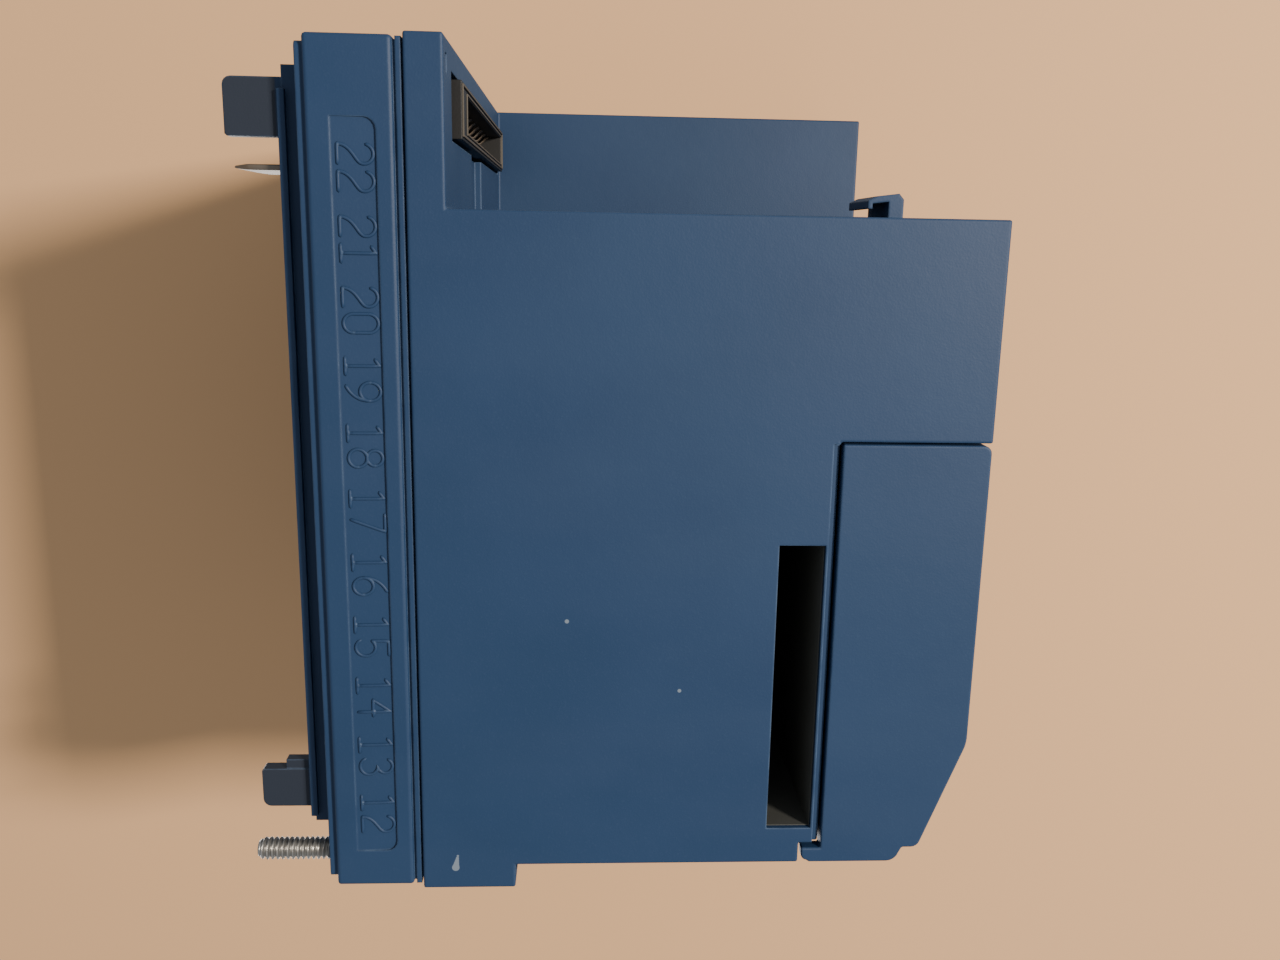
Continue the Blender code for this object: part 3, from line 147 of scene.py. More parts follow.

# ---- Moulded shells: rear base, housing and display case ------------------------------------------
# Injection moulded in one mass-coloured blue plastic with a fine spark finish. The corners are painted a
# little lighter in patches, partly handling wear and partly a painted edge highlight, and the flange and
# the side carry a few small scuffs.


class Wire:
    """A shader socket that takes part in Python sums: every operator adds one Math node."""

    def __init__(self, tree, socket):
        self.tree = tree
        self.socket = socket

    def node(self, kind, settings, sockets, out=0):
        """A node of any type: its settings first, then a value or a wire for each named socket."""
        made = self.tree.nodes.new("ShaderNode" + kind)
        for name, value in settings.items():
            setattr(made, name, value)
        for name, value in sockets.items():
            if isinstance(value, Wire):
                self.tree.links.new(value.socket, made.inputs[name])
            else:
                made.inputs[name].default_value = value
        return Wire(self.tree, made.outputs[out])

    def maths(self, operation, *terms):
        return self.node("Math", {"operation": operation}, dict(enumerate(terms)))

    def __add__(self, other):
        return self.maths("ADD", self, other)

    def __sub__(self, other):
        return self.maths("SUBTRACT", self, other)

    def __rsub__(self, other):
        return self.maths("SUBTRACT", other, self)

    def __mul__(self, other):
        return self.maths("MULTIPLY", self, other)

    def __abs__(self):
        return self.maths("ABSOLUTE", self)

    __radd__ = __add__
    __rmul__ = __mul__

    def step(self, low, high):
        """0 below low, 1 above high, and a smooth rise between."""
        limits = {"Value": self, "From Min": low, "From Max": high}
        return self.node("MapRange", {"interpolation_type": "SMOOTHSTEP"}, limits)

    def along(self, axis):
        """One coordinate of a place: 0 for X, 1 for Y and 2 for Z."""
        return self.node("SeparateXYZ", {}, {"Vector": self}, axis)

    def cloud(self, size, detail=2.0, stretch=(1.0, 1.0, 1.0)):
        """Soft patches of about that size, from 0 to 1; a stretch under 1 draws them out."""
        scale = [share / size for share in stretch]
        spread = self.node("VectorMath", {"operation": "MULTIPLY"}, {0: self, 1: scale})
        return self.node("TexNoise", {}, {"Vector": spread, "Detail": detail, "Scale": 1.0})

    def near(self, centre, reach):
        """1 at a point, falling smoothly to 0 at its reach."""
        apart = self.node("VectorMath", {"operation": "DISTANCE"}, {0: self, 1: centre}, 1)
        return 1.0 - apart.step(reach * 0.45, reach)

    def mix(self, colour, other):
        """One colour where this is 0 and the other where it is 1."""
        return self.node("Mix", {"data_type": "RGBA"}, {0: self, 6: colour, 7: other}, 2)


class Finish:
    """A Principled material; place is the point on the object as a wire."""

    def __init__(self, name, constants=None):
        self.material = bpy.data.materials.new(name)
        self.material.use_nodes = True
        self.tree = self.material.node_tree
        self.shader = self.tree.nodes["Principled BSDF"]
        self.place = Wire(self.tree, self.tree.nodes.new("ShaderNodeTexCoord").outputs["Object"])
        for socket, value in (constants or {}).items():
            self.shader.inputs[socket].default_value = value

    def feed(self, socket, wire):
        self.tree.links.new(wire.socket, self.shader.inputs[socket])

    def rounded(self, radius):
        """The surface's direction as if each corner had that radius, and how close a corner is."""
        soft = self.place.node("Bevel", {"samples": 6}, {"Radius": radius})
        flat = self.place.node("NewGeometry", {}, {}, 1)
        agree = self.place.node("VectorMath", {"operation": "DOT_PRODUCT"}, {0: soft, 1: flat}, 1)
        return soft, 1.0 - agree

    def relief(self, height, depth, direction=None):
        """Raises the surface by a height from 0 to 1, times the depth in metres."""
        sockets = {"Height": height, "Distance": depth, "Strength": 1.0}
        if direction is not None:
            sockets["Normal"] = direction
        self.feed("Normal", self.place.node("Bump", {}, sockets))


def wear_marks(place):
    """Small pale scuffs: a comma drawn out along the flange and dust specks on the side."""
    comma = place.near((0.0635, -0.0230, 0.0592), 0.0007)
    for step in range(6):
        reach = 0.0007 - 0.00009 * step
        comma = comma + place.near((0.0635, -0.0230 - 0.00007 * step, 0.0592 - 0.00040 * step), reach)
    specks = place.near((0.0635, -0.0400, 0.0190), 0.00045)
    specks = specks + place.near((0.0635, -0.0570, 0.0300), 0.0004)
    return comma + specks


def blue_finish():
    made = Finish("blue_moulding", {"Specular IOR Level": 0.30})
    place = made.place
    soft, corner = made.rounded(0.0004)
    patches = place.cloud(0.030, 3.0)
    flow = place.cloud(0.012, 4.0, (1.0, 0.35, 1.0))
    grain = place.cloud(0.00030, 1.0)
    # Paler corners in patches: partly handling wear, partly a painted edge highlight.
    wear_and_edge_highlight = corner.step(0.02, 0.22) * place.cloud(0.004, 3.0).step(0.25, 0.60)
    # Darker and greyer towards the rear, past Y 0.6 mm, where the guides stand.
    rear_guide_mask = place.along(1).step(0.0002, 0.0006)
    body = patches.step(0.30, 0.70).mix((0.0110, 0.0340, 0.0860, 1), (0.0140, 0.0390, 0.0950, 1))
    tinted = (flow.step(0.35, 0.75) * 0.35).mix(body, (0.0180, 0.0430, 0.0980, 1))
    speckled = (grain.step(0.55, 0.80) * 0.18).mix(tinted, (0.0300, 0.0600, 0.1200, 1))
    greyed = (rear_guide_mask * 0.85).mix(speckled, (0.0190, 0.0220, 0.0290, 1))
    edged = (wear_and_edge_highlight * 0.55).mix(greyed, (0.1100, 0.1700, 0.2700, 1))
    scuffed = (wear_marks(place).step(0.20, 0.90) * 0.40).mix(edged, (0.3600, 0.4200, 0.4600, 1))
    made.feed("Base Color", scuffed)
    made.feed("Roughness", 0.48 + flow * 0.10 - wear_and_edge_highlight * 0.06)
    made.relief(grain + place.cloud(0.0020, 2.0) * 1.5, 0.000012, soft)
    return made.material


blue = blue_finish()


def repaint(material, *names):
    """Gives CAD nodes a finish in place of the plain one they came with."""
    for name in names:
        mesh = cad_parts[name].data
        mesh.materials.clear()
        mesh.materials.append(material)


repaint(blue, "rear_base", "housing", "display_case")

# ---- Terminal numbers -----------------------------------------------------------------------------
# Raised in the mould on a shallow panel at each side of the base: 1 to 11 on the left and 12 to 22 on
# the right, in single half-round strokes half a millimetre wide, tops towards the front.

TERMINALS = 11
TERMINAL_TOP = 0.0500
TERMINAL_PITCH = 0.00954
PANEL_FRONT = -0.0141
PANEL_REAR = -0.0080
PANEL_DEPTH = 0.00035
PANEL_SHALLOW = 0.00008
DIGIT_FOOT = -0.0089  # Y of the line that the digits stand on
DIGIT_HEIGHT = 0.00480
DIGIT_WIDTH = 0.00260
DIGIT_PITCH = 0.00360
DIGIT_RISE = 0.0002  # the numbers stand this far above their terminals
STROKE = 0.00025  # half the width of a stroke
STROKE_RISE = 0.00025
base_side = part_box("rear_base")[1].x


def curve(middle, across, up, start, end, count=17):
    """Points on an ellipse between two angles in degrees, 0 to the right and 90 up."""
    turn = np.radians(np.linspace(start, end, count))
    return np.stack([middle[0] + across * np.cos(turn), middle[1] + up * np.sin(turn)], axis=1)


def swerve(*pulls, count=17):
    """A cubic curve from the first point to the last, pulled towards the two between."""
    a, b, c, d = np.array(pulls)
    t = np.linspace(0.0, 1.0, count)[:, None]
    return a * (1 - t) ** 3 + 3 * b * t * (1 - t) ** 2 + 3 * c * t ** 2 * (1 - t) + d * t ** 3


def straight(start, end, count=6):
    share = np.linspace(0.0, 1.0, count)[:, None]
    return np.array(start) * (1 - share) + np.array(end) * share


def digit(figure):
    """A figure's strokes in a cell one wide and one tall."""
    low, top = 0.27, 0.77
    if figure == 0:
        sides = straight((1.0, 0.28), (1.0, 0.72)), straight((0.0, 0.72), (0.0, 0.28))
        bowl = curve((0.5, 0.72), 0.5, 0.28, 0, 180), curve((0.5, 0.28), 0.5, 0.28, 180, 360)
        return [np.concatenate([sides[0], bowl[0][1:], sides[1][1:], bowl[1][1:]])]
    if figure == 1:
        flag = straight((0.15, 0.86), (0.50, 1.0))
        return [flag, straight((0.5, 1.0), (0.5, 0.0)), straight((0.04, 0.0), (0.96, 0.0))]
    if figure == 2:
        bowl = curve((0.5, 0.73), 0.5, 0.27, 165, -10)
        sweep = swerve(bowl[-1], (0.92, 0.48), (0.05, 0.42), (0.0, 0.0))
        return [np.concatenate([bowl, sweep[1:]]), straight((0.0, 0.0), (1.0, 0.0))]
    if figure == 3:
        upper = curve((0.46, top), 0.44, 0.23, 155, -90)
        return [np.concatenate([upper, curve((0.46, low), 0.52, low, 90, -155)[1:]])]
    if figure == 4:
        diagonal = straight((0.73, 1.0), (0.0, 0.46))
        return [straight((0.73, 1.0), (0.73, 0.0)), diagonal, straight((0.0, 0.46), (1.0, 0.46))]
    if figure == 5:
        bowl = curve((0.47, 0.30), 0.51, 0.30, 140, -150, 25)
        return [straight((0.10, 1.0), (0.95, 1.0)), straight((0.10, 1.0), bowl[0]), bowl]
    if figure == 6:
        return [curve((0.5, 0.30), 0.5, 0.30, 0, 360, 33),
                swerve((0.0, 0.32), (0.0, 0.70), (0.45, 0.90), (0.82, 1.0))]
    if figure == 7:
        return [straight((0.0, 1.0), (1.0, 1.0)), straight((1.0, 1.0), (0.30, 0.0), 9)]
    if figure == 8:
        return [curve((0.5, top), 0.43, 0.23, 0, 360, 33), curve((0.5, low), 0.5, low, 0, 360, 33)]
    turned = digit(6)
    return [1.0 - stroke for stroke in turned]


def loft(rings, capped=True):
    """A skin through rings of equal count: each face joins two rings and two neighbouring points."""
    count, around = rings.shape[:2]
    index = np.arange(count * around).reshape(count, around)
    after = np.roll(index, -1, axis=1)
    faces = np.stack([index[:-1], after[:-1], after[1:], index[1:]], axis=-1).reshape(-1, 4).tolist()
    if capped:
        faces += [index[0][::-1].tolist(), index[-1].tolist()]
    return rings.reshape(-1, 3), faces


def piece(name, shells, material, body, sharp=35.0):
    """One object from separate closed shells, facing outward, that rides on a body."""
    starts = np.cumsum([0] + [len(points) for points, _ in shells])
    points = np.concatenate([points for points, _ in shells])
    faces = [[corner + int(start) for corner in face]
             for (_, part), start in zip(shells, starts) for face in part]
    mesh = bpy.data.meshes.new(name)
    mesh.from_pydata(points.tolist(), [], faces)
    work = bmesh.new()
    work.from_mesh(mesh)
    bmesh.ops.recalc_face_normals(work, faces=work.faces)
    work.to_mesh(mesh)
    work.free()
    mesh.shade_smooth()
    mesh.set_sharp_from_angle(angle=np.radians(sharp))
    mesh.materials.append(material)
    made = bpy.data.objects.new(name, mesh)
    bpy.context.scene.collection.objects.link(made)
    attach(made, body)
    return made


def ridge(path, lift):
    """A half-round bead along a path, with round ends: at each point the section is half an ellipse,
    square to the path, whose size falls to nothing over half a width at either end. lift(y, z, rise)
    gives the place in X.
    """
    step = np.gradient(path, axis=0)
    step /= np.linalg.norm(step, axis=1, keepdims=True)
    before = np.cos(np.radians([90.0, 60.0, 30.0]))[:, None] - 1.0
    start = path[0] + before * STROKE * step[0]
    finish = path[-1] - before[::-1] * STROKE * step[-1]
    spine = np.concatenate([start, path[1:-1], finish])
    heading = np.concatenate([np.repeat(step[:1], 3, 0), step[1:-1], np.repeat(step[-1:], 3, 0)])
    size = np.ones(len(spine))
    size[:3] = [0.08, 0.5, 0.87]
    size[-3:] = [0.87, 0.5, 0.08]
    square = np.stack([-heading[:, 1], heading[:, 0]], axis=1)
    turn = np.radians(np.linspace(0.0, 180.0, 7))
    across = np.concatenate([np.cos(turn), [-1.0, 1.0]]) * STROKE
    rise = np.concatenate([np.sin(turn) * STROKE_RISE, [-STROKE_RISE, -STROKE_RISE]])
    places = spine[:, None, :] + square[:, None, :] * (across * size[:, None])[..., None]
    heights = rise * size[:, None]
    return loft(lift(places[..., 0], places[..., 1], heights))


def number(value, height, side):
    """The ridges of one number, centred a little above its terminal."""
    figures = [int(figure) for figure in str(value)]
    shells = []
    for place, figure in enumerate(figures):
        shift = (place - (len(figures) - 1) / 2) * DIGIT_PITCH - DIGIT_WIDTH / 2
        for stroke in digit(figure):
            along = height + DIGIT_RISE + side * (shift + stroke[:, 0] * DIGIT_WIDTH)
            forward = DIGIT_FOOT - stroke[:, 1] * DIGIT_HEIGHT

            def lift(y, z, rise):
                share = (y - PANEL_FRONT) / (PANEL_REAR - PANEL_FRONT)
                floor_x = base_side - PANEL_DEPTH - (PANEL_SHALLOW - PANEL_DEPTH) * share
                return np.stack([side * (floor_x + rise), y, z], axis=-1)

            shells.append(ridge(np.stack([forward, along], axis=1), lift))
    return shells


for side, first, name in ((-1, 1, "numbers_left"), (1, 12, "numbers_right")):
    shells = []
    for place in range(TERMINALS):
        shells += number(first + place, TERMINAL_TOP - place * TERMINAL_PITCH, side)
    piece(name, shells, blue, "control_body", 60.0)

# ---- Knife blades ---------------------------------------------------------------------------------
# Blanked from half-hard brass strip and tinned, then pressed into the base from inside. The stamping
# leaves slightly rounded edges, and the tip is coined to a wedge so that it finds its clip.


def brass_finish():
    made = Finish("tinned_brass", {"Metallic": 0.85})
    drawn = made.place.cloud(0.0009, 3.0, (1.0, 0.08, 1.0))
    thin = made.place.cloud(0.0030, 3.0).step(0.45, 0.75)
    tip = made.place.along(1).step(0.0050, 0.0074)
    tin = drawn.mix((0.150, 0.125, 0.100, 1), (0.250, 0.215, 0.175, 1))
    made.feed("Base Color", (thin * 0.5 + tip * 0.3).mix(tin, (0.200, 0.130, 0.070, 1)))
    made.feed("Roughness", 0.40 + drawn * 0.22)
    made.relief(drawn, 0.000006)
    return made.material


brass = brass_finish()


def blade(name):
    """A plate carried along Y: each section is a rectangle with cut corners, as wide as the CAD blade
    there, narrow in its soldered tail and thinning towards the tip.
    """
    low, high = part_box(name)
    middle_x = (low.x + high.x) / 2
    middle_z = (low.z + high.z) / 2
    half = (high.x - low.x) / 2
    thick = (high.z - low.z) / 2
    tail = 0.0020
    shoulder = -0.0054
    tip = high.y
    stations = np.array([
        (low.y, tail, thick), (shoulder, tail, thick), (shoulder, half, thick),
        (tip - 0.0024, half, thick), (tip - 0.0020, half - 0.0001, thick * 0.97),
        (tip - 0.0004, half - 0.0009, thick * 0.52), (tip - 0.0001, half - 0.0011, thick * 0.36),
        (tip, half - 0.0013, thick * 0.16),
    ])
    cut = 0.00014
    corner_x = np.array([1, 1, 1, 1, -1, -1, -1, -1])
    corner_z = np.array([-1, -1, 1, 1, 1, 1, -1, -1])
    cut_x = np.array([1, 0, 0, 1, 1, 0, 0, 1]) * cut
    cut_z = np.array([0, 1, 1, 0, 0, 1, 1, 0]) * cut
    y, wide, deep = stations.T[:, :, None]
    trim = np.minimum(1.0, deep / (2 * cut))
    x = middle_x + corner_x * (wide - cut_x * trim)
    z = middle_z + corner_z * (deep - cut_z * trim)
    return loft(np.stack([x, np.broadcast_to(y, x.shape), z], axis=-1))


for name in sorted(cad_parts):
    if name.startswith("knife_blade"):
        made = piece(name.replace("knife_", "tinned_"), [blade(name)], brass,
                     "control_body", 20.0)
        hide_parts(name)

# ---- Captive screws -------------------------------------------------------------------------------
# Two number six screws, rolled from steel wire and zinc plated. Each has a slotted cheese head, a
# neck thinner than its thread that keeps it in the housing, and a thread that runs to a cut point.

SCREW_RADIUS = 0.00175
SCREW_CORE = 0.00128
SCREW_NECK = 0.00120
SCREW_PITCH = 0.000794
SCREW_THREAD = 0.0198
SCREW_HEAD = 0.0026
HEAD_RADIUS = 0.0031
SLOT_HALF = 0.0005
SLOT_DEEP = 0.0013


def steel_finish():
    made = Finish("zinc_plated_steel", {"Metallic": 0.95})
    stain = made.place.cloud(0.0016, 3.0)
    fine = made.place.cloud(0.00022, 2.0)
    soft, corner = made.rounded(0.00012)
    bright = stain.mix((0.300, 0.285, 0.260, 1), (0.520, 0.510, 0.480, 1))
    # Corners painted paler: a painted edge highlight.
    made.feed("Base Color", (corner.step(0.02, 0.30) * 0.4).mix(bright, (0.700, 0.690, 0.660, 1)))
    made.feed("Roughness", 0.26 + stain * 0.20)
    made.relief(fine, 0.000005, soft)
    return made.material


steel = steel_finish()


def shank(x, z, neck_start, end):
    """Neck and thread turned about Y. On the thread the radius is a flat-topped wave of the height
    along it less the share of a turn, so that the crest winds once round for each pitch.
    """
    sides = 40
    turn = np.linspace(0.0, 2 * np.pi, sides, endpoint=False)
    thread_start = end - SCREW_THREAD
    steps = int(SCREW_THREAD / SCREW_PITCH * 8)
    y = np.concatenate([[neck_start], np.linspace(thread_start, end, steps)])
    wave = np.abs(((y[:, None] - thread_start) / SCREW_PITCH - turn / (2 * np.pi)) % 1.0 - 0.5) * 2.0
    crest = np.clip(wave * 1.25 - 0.12, 0.0, 1.0)
    radius = SCREW_CORE + (SCREW_RADIUS - SCREW_CORE) * crest
    point = np.clip((end - y) / 0.0008, 0.0, 1.0)[:, None]
    radius = np.minimum(radius, SCREW_RADIUS - 0.00060 * (1.0 - point))
    radius[:2] = SCREW_NECK
    rings = np.stack([x + radius * np.cos(turn), np.broadcast_to(y[:, None], radius.shape),
                      z + radius * np.sin(turn)], axis=-1)
    return loft(rings)


def slotted_head(x, z, front, rear):
    """A round head sliced along X: each slice is a rectangle as tall as the circle's chord there, and
    the slices inside the slot start deeper. The outermost slices shrink and step back a little.
    """
    turn = np.radians(np.linspace(180.0, 0.0, 29))
    across = HEAD_RADIUS * np.cos(turn)
    slot = np.array([-SLOT_HALF, -SLOT_HALF, SLOT_HALF, SLOT_HALF])
    across = np.sort(np.concatenate([across[np.abs(across) > SLOT_HALF], slot]))
    chord = np.sqrt(np.maximum(HEAD_RADIUS ** 2 - across ** 2, 1e-10))
    face = np.full(len(across), front)
    walls = np.flatnonzero(np.abs(across) <= SLOT_HALF)
    face[walls[1:-1]] = front + SLOT_DEEP
    bevel = 0.00035
    rim = np.minimum(bevel, chord * 0.5)
    shrink = np.where(face > front, 0.0, rim)
    edge = np.where(face > front, face, front + bevel)
    column = np.ones(len(across))
    z_ring = np.stack([-chord, -chord, -chord + shrink, chord - shrink, chord, chord], axis=1)
    y_ring = np.stack([column * rear, edge, face, face, edge, column * rear], axis=1)
    x_ring = np.broadcast_to(across[:, None], z_ring.shape)
    return loft(np.stack([x + x_ring, y_ring, z + z_ring], axis=-1))


for corner in ("upper_right", "lower_left"):
    node = f"captive_screw_{corner}"
    low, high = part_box(node)
    x = (low.x + high.x) / 2
    z = (low.z + high.z) / 2
    head_rear = low.y + SCREW_HEAD
    shells = [shank(x, z, head_rear - 0.0006, high.y), slotted_head(x, z, low.y, head_rear)]
    made = piece(f"threaded_screw_{corner}", shells, steel, node, 40.0)
    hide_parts(node)

# ---- Washers, case screws and the reset spring ----------------------------------------------------
# Plain zinc plated washers under the captive screws, four screws in counterbores that hold the base
# to the housing, and a coil spring that returns the reset button.

repaint(steel, "captive_washer_upper_right", "captive_washer_lower_left", "reset_spring")
repaint(steel, *(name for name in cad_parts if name.startswith("case_screw")))

# ---- Boards ---------------------------------------------------------------------------------------
# Glass cloth and epoxy with a green mask. The weave shows faintly, and copper runs under the mask as
# slightly raised, paler lines along the length of each board.


def board_finish():
    made = Finish("board_laminate", {"Roughness": 0.42})
    place = made.place
    weave = place.cloud(0.0007, 1.0)
    tracks = place.node("TexWave", {"wave_type": "BANDS", "bands_direction": "Z"},
                        {"Vector": place, "Scale": 90.0, "Distortion": 2.5, "Detail": 1.0,
                         "Detail Scale": 0.6}, 1)
    copper = tracks.step(0.55, 0.70)
    mask = weave.mix((0.012, 0.110, 0.045, 1), (0.020, 0.150, 0.065, 1))
    made.feed("Base Color", copper.mix(mask, (0.040, 0.230, 0.090, 1)))
    made.relief(copper + weave * 0.3, 0.00003)
    return made.material


repaint(board_finish(), "relay_board", "logic_board", "riser_board", "status_board", "display_board")

# ---- Relays, transformer and the other parts on the relay board -----------------------------------
# Sealed relays in dyed cases, a small mains transformer with a stacked iron core and a taped coil, a
# sleeved electrolytic capacitor, a film capacitor and a glass fuse in a holder.


def moulded_finish(name, dark, pale, roughness, grain=0.0004):
    """A dyed moulding: two close tones in soft patches, and a fine grain."""
    made = Finish(name)
    patches = made.place.cloud(0.006, 3.0)
    fine = made.place.cloud(grain, 2.0)
    soft, corner = made.rounded(0.0002)
    toned = patches.mix((*dark, 1), (*pale, 1))
    edge_highlight_tone = [min(1.0, 1.6 * part + 0.01) for part in pale]
    # Corners painted paler: a painted edge highlight.
    made.feed("Base Color", (corner.step(0.03, 0.30) * 0.4).mix(toned, (*edge_highlight_tone, 1)))
    made.feed("Roughness", roughness + patches * 0.08)
    made.relief(fine, 0.000010, soft)
    return made.material


def iron_finish():
    """Stacked laminations: fine dark lines a third of a millimetre apart, square to Z."""
    made = Finish("transformer_iron", {"Metallic": 0.6})
    sheets = made.place.node("TexWave", {"wave_type": "BANDS", "bands_direction": "Z"},
                             {"Vector": made.place, "Scale": 950.0, "Distortion": 0.4}, 1)
    rust = made.place.cloud(0.004, 4.0).step(0.50, 0.75)
    steel_tone = sheets.mix((0.060, 0.060, 0.065, 1), (0.230, 0.230, 0.240, 1))
    made.feed("Base Color", (rust * 0.35).mix(steel_tone, (0.200, 0.110, 0.060, 1)))
    made.feed("Roughness", 0.45 + rust * 0.25)
    made.relief(sheets, 0.00004)
    return made.material


def tape_finish():
    """Wound tape with overlapping turns and a slight gloss."""
    made = Finish("winding_tape")
    turns = made.place.node("TexWave", {"wave_type": "BANDS", "bands_direction": "Z", "wave_profile": "SAW"},
                            {"Vector": made.place, "Scale": 40.0, "Distortion": 0.8}, 1)
    made.feed("Base Color", turns.mix((0.560, 0.360, 0.050, 1), (0.720, 0.520, 0.120, 1)))
    made.feed("Roughness", 0.32 + made.place.cloud(0.004) * 0.2)
    made.relief(turns, 0.00008)
    return made.material


def sleeve_finish():
    """Heat-shrunk sleeve with one pale stripe down its side and a bare aluminium end."""
    made = Finish("capacitor_sleeve", {"Roughness": 0.30})
    low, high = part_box("smoothing_capacitor")
    stripe = 1.0 - abs(made.place.along(2) - (low.z + high.z) / 2).step(0.0016, 0.0018)
    stripe = stripe * made.place.along(0).step(high.x - 0.0012, high.x - 0.0010)
    end = 1.0 - made.place.along(1).step(low.y + 0.0002, low.y + 0.0006)
    ink = made.place.cloud(0.010).mix((0.012, 0.018, 0.080, 1), (0.018, 0.026, 0.110, 1))
    made.feed("Base Color", end.mix(stripe.mix(ink, (0.420, 0.440, 0.480, 1)), (0.600, 0.610, 0.620, 1)))
    made.feed("Metallic", end * 0.9)
    made.relief(made.place.cloud(0.0012), 0.00002)
    return made.material


def fuse_finish():
    """A glass tube with nickelled caps, and the wire seen as a thin dark line between them."""
    made = Finish("fuse_glass")
    low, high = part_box("fuse")
    from_middle = abs(made.place.along(0) - (low.x + high.x) / 2)
    cap = from_middle.step(0.0048, 0.0050)
    wire = 1.0 - abs(made.place.along(2) - (low.z + high.z) / 2).step(0.0001, 0.0003)
    glass = (wire * 0.8).mix((0.520, 0.580, 0.570, 1), (0.050, 0.050, 0.050, 1))
    made.feed("Base Color", cap.mix(glass, (0.620, 0.600, 0.560, 1)))
    made.feed("Metallic", cap * 0.95)
    made.feed("Roughness", 0.06 + cap * 0.20 + made.place.cloud(0.001) * 0.04)
    return made.material


black = moulded_finish("black_plastic", (0.010, 0.010, 0.011), (0.022, 0.022, 0.023), 0.40)
relay_blue = moulded_finish("relay_case", (0.020, 0.080, 0.240), (0.030, 0.110, 0.300), 0.30)
film_yellow = tape_finish()
epoxy = moulded_finish("chip_epoxy", (0.014, 0.014, 0.015), (0.026, 0.026, 0.027), 0.55, 0.0002)
repaint(relay_blue, *(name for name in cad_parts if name.endswith("_relay")))
repaint(iron_finish(), "transformer_core")
repaint(film_yellow, "transformer_coil", "suppression_capacitor")
repaint(sleeve_finish(), "smoothing_capacitor")
repaint(black, "fuse_holder", "reset_switch", "display_socket", "display_plug")
repaint(fuse_finish(), "fuse")
repaint(epoxy, "processor")

# ---- Amplifier connector --------------------------------------------------------------------------
# A black edge connector behind the opening in the bay's rear wall. A thin brown insulating rim lines
# its shroud and its slot, and tinned spring leaves stand in pairs down the slot.

LEAF_COUNT = 10
LEAF_HALF = 0.0008
LEAF_THICK = 0.00022


def leaf(start, inward, along, across, reach, gap):
    """A bent spring leaf: a flat strip carried inward from its start, its distance from the slot's
    middle falling from the gap to a third of it half way in and opening again behind.
    """
    share = np.linspace(0.0, 1.0, 9)
    lean = 1.0 - 0.62 * np.sin(np.pi * np.minimum(1.0, share * 1.15)) ** 2
    spine = (np.array(start) + share[:, None] * reach * np.array(inward)
             + (gap * lean)[:, None] * np.array(across))
    corners = np.array([(-1, 0), (1, 0), (1, 1), (-1, 1)])
    wide = corners[:, :1] * LEAF_HALF * np.array(along)
    thick = corners[:, 1:] * LEAF_THICK * np.array(across)
    return loft(spine[:, None, :] + (wide + thick)[None])


def rim(x, z, front, rear, width):
    """A flat rectangular ring square to Y: the outline's section carried round its four corners."""
    corner_x = np.array([x[0], x[1], x[1], x[0], x[0]])
    corner_z = np.array([z[0], z[0], z[1], z[1], z[0]])
    inward_x = np.array([1, -1, -1, 1, 1]) * width
    inward_z = np.array([1, 1, -1, -1, 1]) * width
    ring_x = np.stack([corner_x, corner_x + inward_x, corner_x + inward_x, corner_x], axis=1)
    ring_z = np.stack([corner_z, corner_z + inward_z, corner_z + inward_z, corner_z], axis=1)
    ring_y = np.broadcast_to([front, front, rear, rear], ring_x.shape)
    points, faces = loft(np.stack([ring_x, ring_y, ring_z], axis=-1)[:4], False)
    last = 3 * 4
    faces += [[last + i, last + (i + 1) % 4, (i + 1) % 4, i] for i in range(4)]
    return points, faces


connector_black = moulded_finish("connector_black", (0.0030, 0.0032, 0.0034), (0.0060, 0.0062, 0.0066), 0.50)
repaint(connector_black, "amplifier_connector", "option_card_connector")
dull_rim = moulded_finish("rim_insulation", (0.045, 0.038, 0.028), (0.080, 0.068, 0.050), 0.55)
low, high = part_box("amplifier_connector")
mid_z = (low.z + high.z) / 2
face = low.y
slot_x = (low.x + 0.0035, high.x - 0.0075)
slot_half = 0.0026
outer_x = (low.x + 0.0006, high.x - 0.0006)
outer_z = (low.z + 0.0004, high.z - 0.0004)
inner_z = (mid_z - slot_half - 0.0004, mid_z + slot_half + 0.0004)
shells = [
    rim(outer_x, outer_z, face - 0.00025, face + 0.0001, 0.0003),
    rim((slot_x[0] - 0.0006, slot_x[1] + 0.0006), inner_z, face - 0.00018, face + 0.0001, 0.00025),
]
piece("amplifier_rim", shells, dull_rim, "control_body", 30.0)
leaf_places = np.linspace(slot_x[0] + 0.0022, slot_x[1] - 0.0022, LEAF_COUNT)
LEAF_SET_BACK = 0.0024
LEAF_REACH = 0.0042
shells = [leaf((x, face + LEAF_SET_BACK, mid_z), (0, 1, 0), (1, 0, 0), (0, 0, side),
               LEAF_REACH, slot_half - LEAF_THICK - 0.00015)
          for x in leaf_places for side in (-1, 1)]
piece("amplifier_leaves", shells, brass, "control_body", 40.0)

# ---- Option card slot -----------------------------------------------------------------------------
# A thin near-black sheet lines the side slot's walls: painted shade for the slot's dark inside. The slot
# ends in a second edge connector, far enough in that only a hint of the connector's leaves shows.

CARD_Y = (-0.07814, -0.07119)
CARD_Z = (0.0072, 0.05295)
CARD_X = (0.0222, 0.0627)


